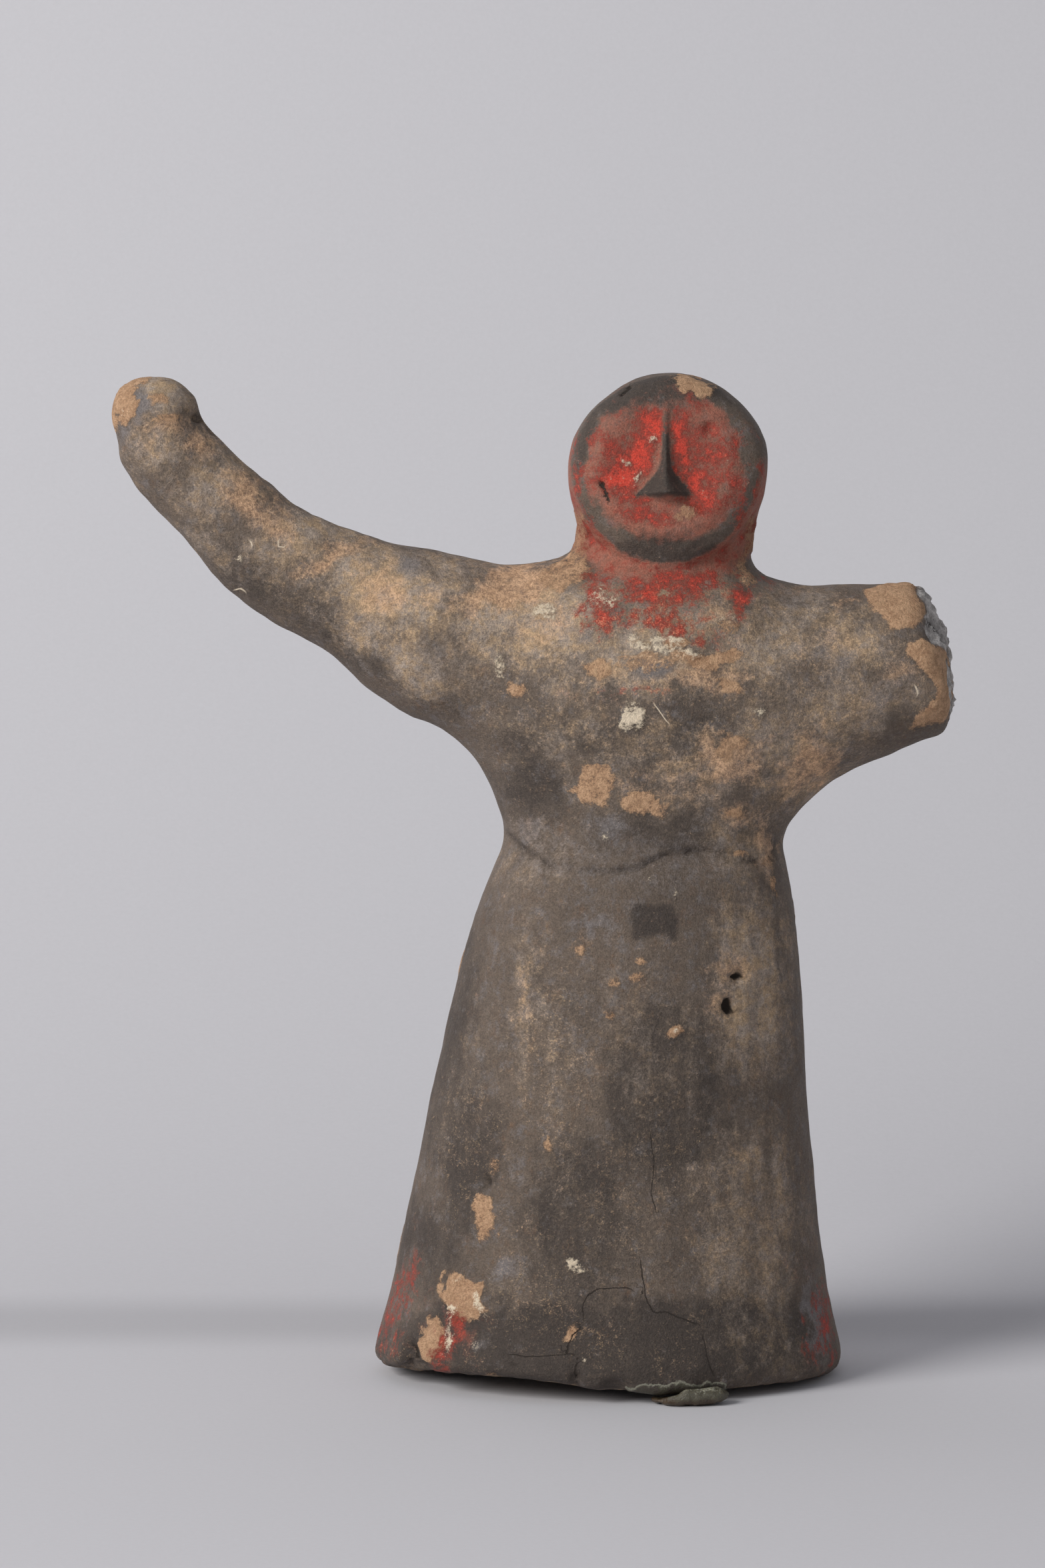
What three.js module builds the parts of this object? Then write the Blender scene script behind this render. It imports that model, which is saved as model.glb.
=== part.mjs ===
// A hand-modelled pottery dancer in a flared skirt, one arm raised and the other broken off short.
// It was made from one lump of clay, so it is one solid: limbs and skirt are smoothly blended rounds,
// and the skin is drawn over them where their joint distance field is zero.
// A lump of soft wax under the front of the hem is the second piece: it props the warped hem level.
import * as THREE from 'three';

// Driving sizes in millimetres. +X is the figure's left, -Y its front, +Z up.
const WAIST_HEIGHT = 45.4;
const TORSO_HEIGHT = 22.6;
const NECK_HEIGHT = 2.6;

const HEM_HALF_WIDTH = 20.2;
const HEM_HALF_DEPTH = 15.8;
const HEM_SHIFT = -0.15;
const HEM_FLARE = 1.4;
const HEM_LIP_HEIGHT = 6.5;
const HEM_EDGE_ROUND = 1.3;
const HEM_LIFT_LEFT = 1.9;
const HEM_LIFT_RIGHT = 0.8;
const FOOT_RIM_WIDTH = 4.2;
const FOOT_HOLLOW_DEPTH = 2.4;
const SKIRT_TOP_HALF_WIDTH = 11.8;
const SKIRT_TOP_HALF_DEPTH = 9.2;
const SKIRT_LEAN = 2.7;
const WAIST_DIP = 2.2;
const WAIST_CREASE_ROUND = 1.8;

const CHEST_HALF_WIDTH = 14.0;
const CHEST_HALF_DEPTH = 8.2;
const SHOULDER_HALF_WIDTH = 9.0;
const SHOULDER_HALF_DEPTH = 5.6;
const RAISED_ARM_BLEND = 5.4;
const STUMP_BLEND = 5.2;
const ARM_FLATTENING = 0.84;

const RAISED_ARM_REACH = 44.1;
const RAISED_ARM_RISE = 22.4;
const RAISED_ARM_ROOT_RADIUS = 7.6;
const RAISED_ARM_WRIST_RADIUS = 4.1;
const HAND_BLEND = 0.8;
const HAND_HALF_LENGTH = 3.85;
const HAND_HALF_HEIGHT = 3.15;

const STUMP_REACH = 22.6;
const STUMP_ROOT_RADIUS = 8.0;
const STUMP_END_RADIUS = 6.2;
const BREAK_STEP = 0.7;
const BREAK_STEP_DROP = 3.8;
const BREAK_SLOPE_ABOVE = 0.33;
const BREAK_SLOPE_BELOW = 0.12;
const BREAK_TURN = 0.14;
const BREAK_ROUGHNESS = 0.25;

const NECK_HALF_WIDTH = 7.4;
const NECK_HALF_DEPTH = 5.0;
const NECK_BLEND = 1.5;
const CHIN_BLEND = 1.0;
const HEAD_HALF_WIDTH = 8.6;
const HEAD_HALF_HEIGHT = 8.1;
const HEAD_HALF_DEPTH = 6.7;
const HEAD_FORWARD = 0.6;
const FACE_SETBACK = 5.2;
const FACE_EDGE_ROUND = 2.0;
const FACE_TILT = THREE.MathUtils.degToRad(6);
const NOSE_LENGTH = 7.6;
const NOSE_HALF_WIDTH = 2.6;
const NOSE_HEIGHT = 1.7;
const CHEEK_HOLLOW_DEPTH = 0.35;

const WAX_HALF_WIDTH = 6.0;
const WAX_HALF_DEPTH = 1.9;
const WAX_HEIGHT = 1.8;
const WAX_OFFSET = 6.0;
const WAX_INSET = 0.7;
const WAX_GAP = 0.3;

// Heights that the stacked parts share.
const SHOULDER_HEIGHT = WAIST_HEIGHT + TORSO_HEIGHT;
const HEAD_CENTRE_HEIGHT = SHOULDER_HEIGHT + NECK_HEIGHT + HEAD_HALF_HEIGHT - 0.8;
const TORSO_SHIFT = SKIRT_LEAN;
const HEAD_SHIFT = SKIRT_LEAN + 2.3;

// Blends two distances: a rounded join, and the rounded edge where one shape trims another.
function join(a, b, round) {
  const h = Math.max(round - Math.abs(a - b), 0) / round;
  return Math.min(a, b) - h * h * round / 4;
}

function trim(a, b, round) {
  return -join(-a, -b, round);
}

function ease(from, to, x) {
  const t = Math.min(Math.max((x - from) / (to - from), 0), 1);
  return t * t * (3 - 2 * t);
}

// An upright column of oval sections. Each station is [height, centre x, centre y, half width, half depth].
function column(stations, endRound) {
  const sizes = new THREE.CubicInterpolant(stations.map((s) => s[0]), stations.flatMap((s) => s.slice(1)), 4);
  const bottom = stations[0][0];
  const top = stations[stations.length - 1][0];
  return (p) => {
    const [cx, cy, halfWidth, halfDepth] = sizes.evaluate(Math.min(Math.max(p.z, bottom), top));
    const x = p.x - cx;
    const y = p.y - cy;
    const near = Math.hypot(x / halfWidth, y / halfDepth);
    const slope = Math.hypot(x / halfWidth ** 2, y / halfDepth ** 2);
    const side = slope > 0 ? near * (near - 1) / slope : -halfDepth;
    return trim(side, Math.max(p.z - top, bottom - p.z), endRound);
  };
}

// A tapering limb along a smooth line, flattened front to back. Each station is [x, y, z, radius].
function limb(stations) {
  const STEPS = 18;
  const line = new THREE.CatmullRomCurve3(stations.map((s) => new THREE.Vector3(s[0], s[1] / ARM_FLATTENING, s[2])));
  const radii = new THREE.CatmullRomCurve3(stations.map((s) => new THREE.Vector3(s[3], 0, 0)));
  const bones = Array.from({ length: STEPS }, (_, i) => {
    const start = line.getPoint(i / STEPS);
    const span = line.getPoint((i + 1) / STEPS).sub(start);
    const radius = radii.getPoint(i / STEPS).x;
    return { start, span, length2: span.lengthSq(), radius, growth: radii.getPoint((i + 1) / STEPS).x - radius };
  });
  const q = new THREE.Vector3();
  return (p) => {
    let nearest = Infinity;
    for (const bone of bones) {
      q.set(p.x, p.y / ARM_FLATTENING, p.z).sub(bone.start);
      const t = Math.min(Math.max(q.dot(bone.span) / bone.length2, 0), 1);
      const off = q.addScaledVector(bone.span, -t).length();
      nearest = Math.min(nearest, off - bone.radius - t * bone.growth);
    }
    return nearest * ARM_FLATTENING;
  };
}

function ellipsoid(centre, halfX, halfY, halfZ) {
  return (p) => {
    const x = p.x - centre.x;
    const y = p.y - centre.y;
    const z = p.z - centre.z;
    const near = Math.hypot(x / halfX, y / halfY, z / halfZ);
    const slope = Math.hypot(x / halfX ** 2, y / halfY ** 2, z / halfZ ** 2);
    return slope > 0 ? near * (near - 1) / slope : -Math.min(halfX, halfY, halfZ);
  };
}

// The skirt: an oval cone that leans as it rises and flares at its lip.
const skirtAt = (share, widen) => [
  share * WAIST_HEIGHT,
  HEM_SHIFT + (SKIRT_LEAN - HEM_SHIFT) * share ** 1.7,
  0,
  THREE.MathUtils.lerp(HEM_HALF_WIDTH - HEM_FLARE, SKIRT_TOP_HALF_WIDTH, share) + widen,
  THREE.MathUtils.lerp(HEM_HALF_DEPTH - HEM_FLARE, SKIRT_TOP_HALF_DEPTH, share) + widen * 0.8,
];
const skirtBody = column([
  [-2, HEM_SHIFT, 0, HEM_HALF_WIDTH, HEM_HALF_DEPTH],
  [1.5, HEM_SHIFT, 0, HEM_HALF_WIDTH, HEM_HALF_DEPTH],
  skirtAt(HEM_LIP_HEIGHT / WAIST_HEIGHT, 1.15),
  skirtAt(0.3, 1.0),
  skirtAt(0.6, 1.15),
  skirtAt(0.85, 1.2),
  skirtAt(1, 0.1),
  [WAIST_HEIGHT + 4, SKIRT_LEAN, 0, SKIRT_TOP_HALF_WIDTH - 3, SKIRT_TOP_HALF_DEPTH - 3],
], 0.5);

// The underside: a flat rim at the back, lifted off the ground at the front corners, round a shallow hollow.
function underside(p) {
  const out = Math.hypot(p.x / HEM_HALF_WIDTH, p.y / HEM_HALF_DEPTH);
  const front = ease(0.15, -0.75, p.y / HEM_HALF_DEPTH);
  const left = ease(0.25, -0.55, p.x / HEM_HALF_WIDTH);
  const lift = front * THREE.MathUtils.lerp(HEM_LIFT_RIGHT, HEM_LIFT_LEFT, left) + 0.6 * left * (1 - front);
  const rim = 1 - FOOT_RIM_WIDTH / HEM_HALF_DEPTH;
  const hollow = FOOT_HOLLOW_DEPTH * ease(rim, rim - 0.35, out);
  const RIM_BELOW_GROUND = 0.35;
  return Math.max(lift, hollow) - RIM_BELOW_GROUND * (1 - front);
}

// The torso: narrow at the waist, broad over the chest, running up into the shoulders.
const torso = column([
  [WAIST_HEIGHT - 4, TORSO_SHIFT, 0, SKIRT_TOP_HALF_WIDTH - 2.4, SKIRT_TOP_HALF_DEPTH - 2.0],
  [WAIST_HEIGHT, TORSO_SHIFT + 0.1, 0, SKIRT_TOP_HALF_WIDTH - 0.6, SKIRT_TOP_HALF_DEPTH - 0.8],
  [WAIST_HEIGHT + 0.25 * TORSO_HEIGHT, TORSO_SHIFT + 0.6, -0.1, CHEST_HALF_WIDTH - 0.6, CHEST_HALF_DEPTH],
  [WAIST_HEIGHT + 0.55 * TORSO_HEIGHT, TORSO_SHIFT + 0.9, 0, CHEST_HALF_WIDTH, CHEST_HALF_DEPTH],
  [WAIST_HEIGHT + 0.82 * TORSO_HEIGHT, TORSO_SHIFT + 1.3, 0.3, SHOULDER_HALF_WIDTH + 1.6, SHOULDER_HALF_DEPTH + 1],
  [SHOULDER_HEIGHT + 1.7, TORSO_SHIFT + 0.8, 0.5, SHOULDER_HALF_WIDTH - 1.2, SHOULDER_HALF_DEPTH - 0.4],
], 4.0);

// The waist crease dips at the front and back, where the skirt was pressed against the torso.
function waistLine(p) {
  const across = (p.x - SKIRT_LEAN) / SKIRT_TOP_HALF_WIDTH;
  return WAIST_HEIGHT + 1.2 - WAIST_DIP * Math.sqrt(Math.max(1 - across * across, 0)) - 0.04 * (p.x - SKIRT_LEAN);
}

// The raised arm, bent upwards at the elbow.
const raisedArmAt = (reach, rise, forward, radius) => [
  HEAD_SHIFT - reach * RAISED_ARM_REACH,
  forward,
  SHOULDER_HEIGHT - 7.6 + rise * RAISED_ARM_RISE,
  radius,
];
const raisedArm = limb([
  raisedArmAt(0.06, -0.035, 0.4, RAISED_ARM_ROOT_RADIUS),
  raisedArmAt(0.26, 0.045, 0.3, RAISED_ARM_ROOT_RADIUS),
  raisedArmAt(0.44, 0.138, 0.2, RAISED_ARM_ROOT_RADIUS - 0.2),
  raisedArmAt(0.6, 0.29, 0, RAISED_ARM_ROOT_RADIUS - 2.2),
  raisedArmAt(0.755, 0.435, -0.3, RAISED_ARM_WRIST_RADIUS + 0.8),
  raisedArmAt(0.86, 0.634, -0.7, RAISED_ARM_WRIST_RADIUS + 0.25),
  raisedArmAt(0.97, 0.85, -1.2, RAISED_ARM_WRIST_RADIUS - 0.1),
  raisedArmAt(0.99, 0.93, -1.4, RAISED_ARM_WRIST_RADIUS - 0.9),
]);
const handCentre = new THREE.Vector3(
  HEAD_SHIFT - RAISED_ARM_REACH + 0.35,
  -1.5,
  SHOULDER_HEIGHT - 7.6 + RAISED_ARM_RISE,
);
const hand = ellipsoid(handCentre, HAND_HALF_LENGTH, HAND_HALF_HEIGHT * 1.05, HAND_HALF_HEIGHT);

// The stump of the other arm, held straight out and broken across.
const stumpRoot = TORSO_SHIFT + 4.2;
const stumpAt = (reach, rise, radius) => [stumpRoot + reach * STUMP_REACH, 0.3, SHOULDER_HEIGHT + rise, radius];
const stump = limb([
  stumpAt(0.05, -9.0, STUMP_ROOT_RADIUS),
  stumpAt(0.5, -8.05, STUMP_ROOT_RADIUS),
  stumpAt(0.8, -6.7, STUMP_END_RADIUS + 0.7),
  stumpAt(1.3, -4.7, STUMP_END_RADIUS - 0.3),
]);

// The break is a rough face that steps out where a flake of the core still stands.
function breakFace(p) {
  const rise = p.z - (SHOULDER_HEIGHT - BREAK_STEP_DROP);
  const stepped = ease(0.5, -0.5, rise);
  const slope = rise > 0 ? BREAK_SLOPE_ABOVE : BREAK_SLOPE_BELOW;
  const ragged = BREAK_ROUGHNESS * Math.sin(0.7 * p.z + 0.6) * Math.cos(0.6 * p.y - 0.4);
  const end = stumpRoot + 0.935 * STUMP_REACH + BREAK_STEP * stepped - slope * rise + ragged;
  const FLANK = 3;
  return 0.93 * (p.x - end - BREAK_TURN * (p.y - FLANK));
}

const neckAt = (height, widen, deepen) => [
  height, HEAD_SHIFT - 0.3, 0.9, NECK_HALF_WIDTH + widen, NECK_HALF_DEPTH + deepen,
];
const neck = column([
  neckAt(SHOULDER_HEIGHT - 4, 0.2, 1.0),
  neckAt(SHOULDER_HEIGHT + 0.8 * NECK_HEIGHT, -0.3, -0.2),
  neckAt(SHOULDER_HEIGHT + 1.7 * NECK_HEIGHT, 0.3, 0.0),
  neckAt(HEAD_CENTRE_HEIGHT, 0.7, -0.6),
], 3.0);

// The head is a thick clay disc with a flat, slightly upturned face.
const off = new THREE.Vector3();
const headCentre = new THREE.Vector3(HEAD_SHIFT, -HEAD_FORWARD, HEAD_CENTRE_HEIGHT);
const faceNormal = new THREE.Vector3(0, -Math.cos(FACE_TILT), Math.sin(FACE_TILT));
const faceUp = new THREE.Vector3(0, Math.sin(FACE_TILT), Math.cos(FACE_TILT));
const faceCentre = headCentre.clone().addScaledVector(faceNormal, FACE_SETBACK);
function drum(p) {
  const DRUM_POWER = 3;
  const round = Math.hypot((p.x - headCentre.x) / HEAD_HALF_WIDTH, (p.z - headCentre.z) / HEAD_HALF_HEIGHT);
  const deep = Math.abs(p.y - headCentre.y) / HEAD_HALF_DEPTH;
  return ((round ** DRUM_POWER + deep ** DRUM_POWER) ** (1 / DRUM_POWER) - 1) * HEAD_HALF_DEPTH;
}

// The nose: a ridge pinched up from the forehead, flaring like a tent and cut square underneath.
function faceRelief(u, w) {
  const NOSE_BASE = -2.2;
  const BRIDGE_HEIGHT = 0.35;
  const BRIDGE_HALF_WIDTH = 0.8;
  const noseTop = NOSE_BASE + NOSE_LENGTH;
  const down = THREE.MathUtils.clamp((noseTop - w) / NOSE_LENGTH, 0, 1);
  const halfWidth = BRIDGE_HALF_WIDTH + (NOSE_HALF_WIDTH - BRIDGE_HALF_WIDTH) * down ** 3;
  const ridge = Math.max(1 - Math.abs(u) / halfWidth, 0) ** 1.2;
  const height = (BRIDGE_HEIGHT + (NOSE_HEIGHT - BRIDGE_HEIGHT) * down ** 2.2) * ease(noseTop + 0.6, noseTop - 1, w);
  const under = ease(NOSE_BASE - 0.5, NOSE_BASE + 0.1, w);
  const cheeks = CHEEK_HOLLOW_DEPTH * Math.exp(-((Math.abs(u) - 2.9) ** 2) / 4.5 - ((w - 0.6) ** 2) / 10);
  return ridge * height * under - cheeks;
}
function head(p) {
  off.copy(p).sub(faceCentre);
  const outwards = off.dot(faceNormal);
  const w = off.dot(faceUp);
  const crown = 0.35 * (off.x ** 2 + w ** 2) / HEAD_HALF_WIDTH ** 2;
  const face = outwards + crown - faceRelief(off.x, w);
  return trim(drum(p), face, FACE_EDGE_ROUND);
}

// The whole clay body.
function clay(p) {
  const aboveWaist = waistLine(p) - p.z;
  const skirt = trim(skirtBody(p), -aboveWaist - 0.6, 1.6);
  const raised = join(raisedArm(p), hand(p), HAND_BLEND);
  const withArm = join(torso(p), raised, RAISED_ARM_BLEND);
  const withArms = join(withArm, trim(stump(p), breakFace(p), 0.5), STUMP_BLEND);
  const upper = trim(withArms, aboveWaist - 1.6, 1.6);
  const withNeck = join(upper, neck(p), NECK_BLEND);
  const figure = join(join(withNeck, head(p), CHIN_BLEND), skirt, WAIST_CREASE_ROUND);
  const footed = trim(figure, underside(p) - p.z, HEM_EDGE_ROUND);
  return Math.max(footed, -p.z);
}

// The wax: a lens-shaped lump pressed up against the hem and squashed flat on the ground.
const hemFront = -HEM_HALF_DEPTH * Math.sqrt(1 - (WAX_OFFSET / HEM_HALF_WIDTH) ** 2);
const waxCentre = new THREE.Vector3(WAX_OFFSET, hemFront + WAX_INSET, 0.45 * WAX_HEIGHT);
const waxLump = ellipsoid(waxCentre, WAX_HALF_WIDTH, WAX_HALF_DEPTH, 0.55 * WAX_HEIGHT);
function wax(p) {
  return Math.max(trim(waxLump(p), WAX_GAP - clay(p), 0.8), -p.z);
}

// Grid lines from one value to another, closer together inside the finer windows [from, to, step].
function gridLines(from, to, step, windows = []) {
  const lines = [from];
  while (lines.at(-1) < to) {
    const here = lines.at(-1);
    const inside = windows.find((w) => here >= w[0] - 1e-6 && here < w[1]);
    lines.push(here + (inside ? inside[2] : step));
  }
  return lines;
}

// Draws a closed skin where the field is zero: one vertex in each crossed cell, one quad round each crossed edge.
function skin(field, xs, ys, zs) {
  const p = new THREE.Vector3();
  const at = (x, y, z) => field(p.set(x, y, z));
  const values = zs.map((z) => ys.map((y) => xs.map((x) => at(x, y, z))));
  const cells = new Map();
  const positions = [];
  const cellKey = (i, j, k) => (k * ys.length + j) * xs.length + i;
  const corners = [0, 1, 2, 3, 4, 5, 6, 7].map((n) => [n & 1, (n >> 1) & 1, n >> 2]);
  const edges = corners.flatMap((a, m) => [1, 2, 4].filter((bit) => !(m & bit)).map((bit) => [m, m | bit]));

  function slide(v, low, high) {
    const STEP = 0.02;
    for (let round = 0; round < 3; round++) {
      const here = at(v.x, v.y, v.z);
      const slope = new THREE.Vector3(
        at(v.x + STEP, v.y, v.z) - here,
        at(v.x, v.y + STEP, v.z) - here,
        at(v.x, v.y, v.z + STEP) - here,
      ).divideScalar(STEP);
      v.addScaledVector(slope, -here / Math.max(slope.lengthSq(), 0.2)).clamp(low, high);
    }
    if (Math.abs(v.z) < 5e-3) v.z = 0;
    return v;
  }

  function vertexOf(i, j, k) {
    const key = cellKey(i, j, k);
    if (!cells.has(key)) {
      const sum = new THREE.Vector3();
      let crossed = 0;
      const value = (c) => values[k + c[2]][j + c[1]][i + c[0]];
      const place = (c) => new THREE.Vector3(xs[i + c[0]], ys[j + c[1]], zs[k + c[2]]);
      for (const [m, n] of edges) {
        const a = value(corners[m]);
        const b = value(corners[n]);
        if ((a < 0) === (b < 0)) continue;
        sum.add(place(corners[m]).lerp(place(corners[n]), a / (a - b)));
        crossed++;
      }
      const v = slide(sum.divideScalar(crossed), place(corners[0]), place(corners[7]));
      cells.set(key, positions.length / 3);
      positions.push(v.x, v.y, v.z);
    }
    return cells.get(key);
  }

  const faces = [];
  const point = (n) => new THREE.Vector3().fromArray(positions, 3 * n);
  function quad(a, b, c, d) {
    const straight = point(a).distanceTo(point(c)) <= point(b).distanceTo(point(d));
    faces.push(...(straight ? [a, b, c, a, c, d] : [b, c, d, b, d, a]));
  }
  for (let k = 1; k < zs.length - 1; k++) {
    for (let j = 1; j < ys.length - 1; j++) {
      for (let i = 1; i < xs.length - 1; i++) {
        const inside = values[k][j][i] < 0;
        const around = [
          [values[k][j][i + 1], [[i, j - 1, k - 1], [i, j, k - 1], [i, j, k], [i, j - 1, k]]],
          [values[k][j + 1][i], [[i - 1, j, k - 1], [i - 1, j, k], [i, j, k], [i, j, k - 1]]],
          [values[k + 1][j][i], [[i - 1, j - 1, k], [i, j - 1, k], [i, j, k], [i - 1, j, k]]],
        ];
        for (const [next, cellsAround] of around) {
          if ((next < 0) === inside) continue;
          const ring = cellsAround.map((c) => vertexOf(...c));
          quad(...(inside ? ring : ring.reverse()));
        }
      }
    }
  }
  const geometry = new THREE.BufferGeometry();
  geometry.setAttribute('position', new THREE.Float32BufferAttribute(positions, 3));
  geometry.setIndex(faces);
  geometry.computeVertexNormals();
  return geometry;
}

const handReach = RAISED_ARM_REACH + HAND_HALF_LENGTH;
const topOfHead = HEAD_CENTRE_HEIGHT + HEAD_HALF_HEIGHT;
const clayGeometry = skin(
  clay,
  gridLines(HEAD_SHIFT - handReach - 3, TORSO_SHIFT + STUMP_REACH + 10, 2.0, [
    [HEAD_SHIFT - handReach - 3, HEAD_SHIFT - handReach + 10, 1.5],
    [HEAD_SHIFT - HEAD_HALF_WIDTH - 0.8, HEAD_SHIFT - 1.5 * NOSE_HALF_WIDTH, 1.35],
    [HEAD_SHIFT - 1.5 * NOSE_HALF_WIDTH, HEAD_SHIFT + 1.5 * NOSE_HALF_WIDTH, 0.82],
    [HEAD_SHIFT + 1.5 * NOSE_HALF_WIDTH, HEAD_SHIFT + HEAD_HALF_WIDTH + 0.8, 1.35],
  ]),
  gridLines(-HEM_HALF_DEPTH - 3, HEM_HALF_DEPTH + 3, 2.1),
  gridLines(-1.55, topOfHead + 3, 1.6, [
    [-1.55, 5, 1.2],
    [5, WAIST_HEIGHT - 5, 3.3],
    [WAIST_HEIGHT - 5, WAIST_HEIGHT + 4, 1.2],
    [SHOULDER_HEIGHT, HEAD_CENTRE_HEIGHT - 4, 1.2],
    [HEAD_CENTRE_HEIGHT - 4, HEAD_CENTRE_HEIGHT, 0.8],
    [HEAD_CENTRE_HEIGHT, topOfHead + 3, 1.3],
  ]),
);
const waxGeometry = skin(
  wax,
  gridLines(WAX_OFFSET - WAX_HALF_WIDTH - 1, WAX_OFFSET + WAX_HALF_WIDTH + 1, 0.8),
  gridLines(-HEM_HALF_DEPTH - WAX_HALF_DEPTH - 1, -HEM_HALF_DEPTH + 3 * WAX_HALF_DEPTH, 0.6),
  gridLines(-0.45, 2 * WAX_HEIGHT, 0.3),
);

const burnishedClay = new THREE.MeshStandardMaterial({ color: 0x5c5149, roughness: 0.7, metalness: 0 });
const softWax = new THREE.MeshStandardMaterial({ color: 0x76756a, roughness: 0.35, metalness: 0 });

const figurine = new THREE.Mesh(clayGeometry, burnishedClay);
figurine.name = 'figurine';
const waxProp = new THREE.Mesh(waxGeometry, softWax);
waxProp.name = 'wax_prop';

// The origin is on the ground, under the middle of the whole outline.
const dancer = new THREE.Group();
dancer.add(figurine, waxProp);
const middle = new THREE.Box3().setFromObject(dancer).getCenter(new THREE.Vector3());
dancer.position.set(-middle.x, -middle.y, 0);

export default dancer;
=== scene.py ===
"""A small burnished pottery dancer with a worn red face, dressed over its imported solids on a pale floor.

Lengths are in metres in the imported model's frame: +X is the figure's left, -Y its front, +Z up.
Marks are placed by pixels of the 1568 x 2352 photograph, and each vertex takes the finish of its own pixel.
"""
import itertools
import math
from typing import NamedTuple

import bmesh
import bpy
import numpy as np
from bpy.props import FloatProperty, FloatVectorProperty, PointerProperty
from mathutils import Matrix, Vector
from mathutils.bvhtree import BVHTree


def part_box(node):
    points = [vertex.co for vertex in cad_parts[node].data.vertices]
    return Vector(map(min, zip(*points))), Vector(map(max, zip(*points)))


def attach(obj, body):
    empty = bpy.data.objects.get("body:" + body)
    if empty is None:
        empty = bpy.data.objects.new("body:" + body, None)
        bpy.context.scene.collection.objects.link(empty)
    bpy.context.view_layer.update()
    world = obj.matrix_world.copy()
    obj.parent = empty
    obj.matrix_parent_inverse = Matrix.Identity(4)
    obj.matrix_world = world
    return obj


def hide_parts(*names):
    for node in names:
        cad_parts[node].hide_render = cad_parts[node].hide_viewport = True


bl_info = {
    "name": "Burnished Pottery Dancer",
    "version": (1, 0, 0),
    "blender": (4, 5, 0),
    "location": "View3D > Sidebar > Dancer",
    "description": "Builds a small painted pottery figurine with its soil, pigment and breaks",
    "category": "Object",
}

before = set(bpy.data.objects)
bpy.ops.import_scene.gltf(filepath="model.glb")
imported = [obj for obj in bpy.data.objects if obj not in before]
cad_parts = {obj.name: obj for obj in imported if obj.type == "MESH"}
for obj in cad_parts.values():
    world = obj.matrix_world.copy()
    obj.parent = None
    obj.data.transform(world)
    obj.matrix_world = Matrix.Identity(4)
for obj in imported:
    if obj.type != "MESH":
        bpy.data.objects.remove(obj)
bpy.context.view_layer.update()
MM = 0.001

# The photograph's size and the camera that took it.
PHOTO_WIDTH = 1568
PHOTO_HEIGHT = 2352
LENS = 150.0
SENSOR = 36.0
PIXELS_PER_SLOPE = LENS / SENSOR * PHOTO_HEIGHT
CAMERA_RISE = math.radians(6)
CAMERA_DISTANCE = 0.5586
AIM = np.array([-0.91, 0.24, 50.92]) * MM
TOWARDS_CAMERA = np.array([0.0, -math.cos(CAMERA_RISE), math.sin(CAMERA_RISE)])
CAMERA_UP = np.array([0.0, math.sin(CAMERA_RISE), math.cos(CAMERA_RISE)])
CAMERA_PLACE = AIM + CAMERA_DISTANCE * TOWARDS_CAMERA

# The disc of the face; within the fine radius its mesh is twice as fine.
TOP_OF_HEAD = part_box("figurine")[1].z
FACE_TILT = math.radians(6)
FACE_OUT = np.array([0.0, -math.cos(FACE_TILT), math.sin(FACE_TILT)])
FACE_UP = np.array([0.0, math.sin(FACE_TILT), math.cos(FACE_TILT)])
FACE_CENTRE = np.array([11.15 * MM, -5.54 * MM, TOP_OF_HEAD - 7.55 * MM])
FACE_RADIUS = 8.6 * MM
FINE_RADIUS = 7.6 * MM

# Half the nose's width at heights up the face, both in millimetres.
NOSE_HEIGHTS = (-2.4, -1.9, -1.26, -0.06, 1.5, 5.35)
NOSE_HALF_WIDTHS = (2.4, 2.0, 1.35, 0.6, 0.3, 0.28)

# Places on the body: the neck's middle, where the hand begins, and the raised arm's root and direction.
NECK_MIDDLE = 11 * MM
HAND_SIDE = -30 * MM
ARM_ROOT = np.array([-13.0, 0.0, 66.0]) * MM
ARM_WAY = np.array([-0.887, 0.0, 0.461])

# The dressed wax is narrowed about its middle to this share of its solid's width.
WAX_MIDDLE = 13.2 * MM
WAX_SQUEEZE = 0.62

# Where the soft lights hang, what they point at, and the tints of the light.
KEY_PLACE = (-0.62, -0.5, 0.45)
FILL_PLACE = (0.7, -0.6, 0.5)
LIGHT_AIM = (0, 0, 0.05)
KEY_TINT = (1.0, 0.985, 0.96)
FILL_TINT = (1.0, 0.99, 0.97)
ROOM_TINT = (0.93, 0.95, 1.0, 1)

# Where a band of painted shade lies across the paper behind the figure, in millimetres.
SHADE_BAND_PLACE = 23.0

# The most that a mark's edge wavers, and a distance far from every crack, both in pixels.
RAGGED_EDGE = 20
FAR_PIXELS = 40.0

# Fields that shape the clay and that its material doesn't read.
RELIEF_ONLY = {"crack_depth", "fold", "dent", "lip"}


class Mark(NamedTuple):
    """An oval patch round a pixel of the photograph: half sizes in pixels, strength and turn in degrees."""

    x: float
    y: float
    half_width: float
    half_height: float
    strength: float = 1.0
    turn: float = 0.0


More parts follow.
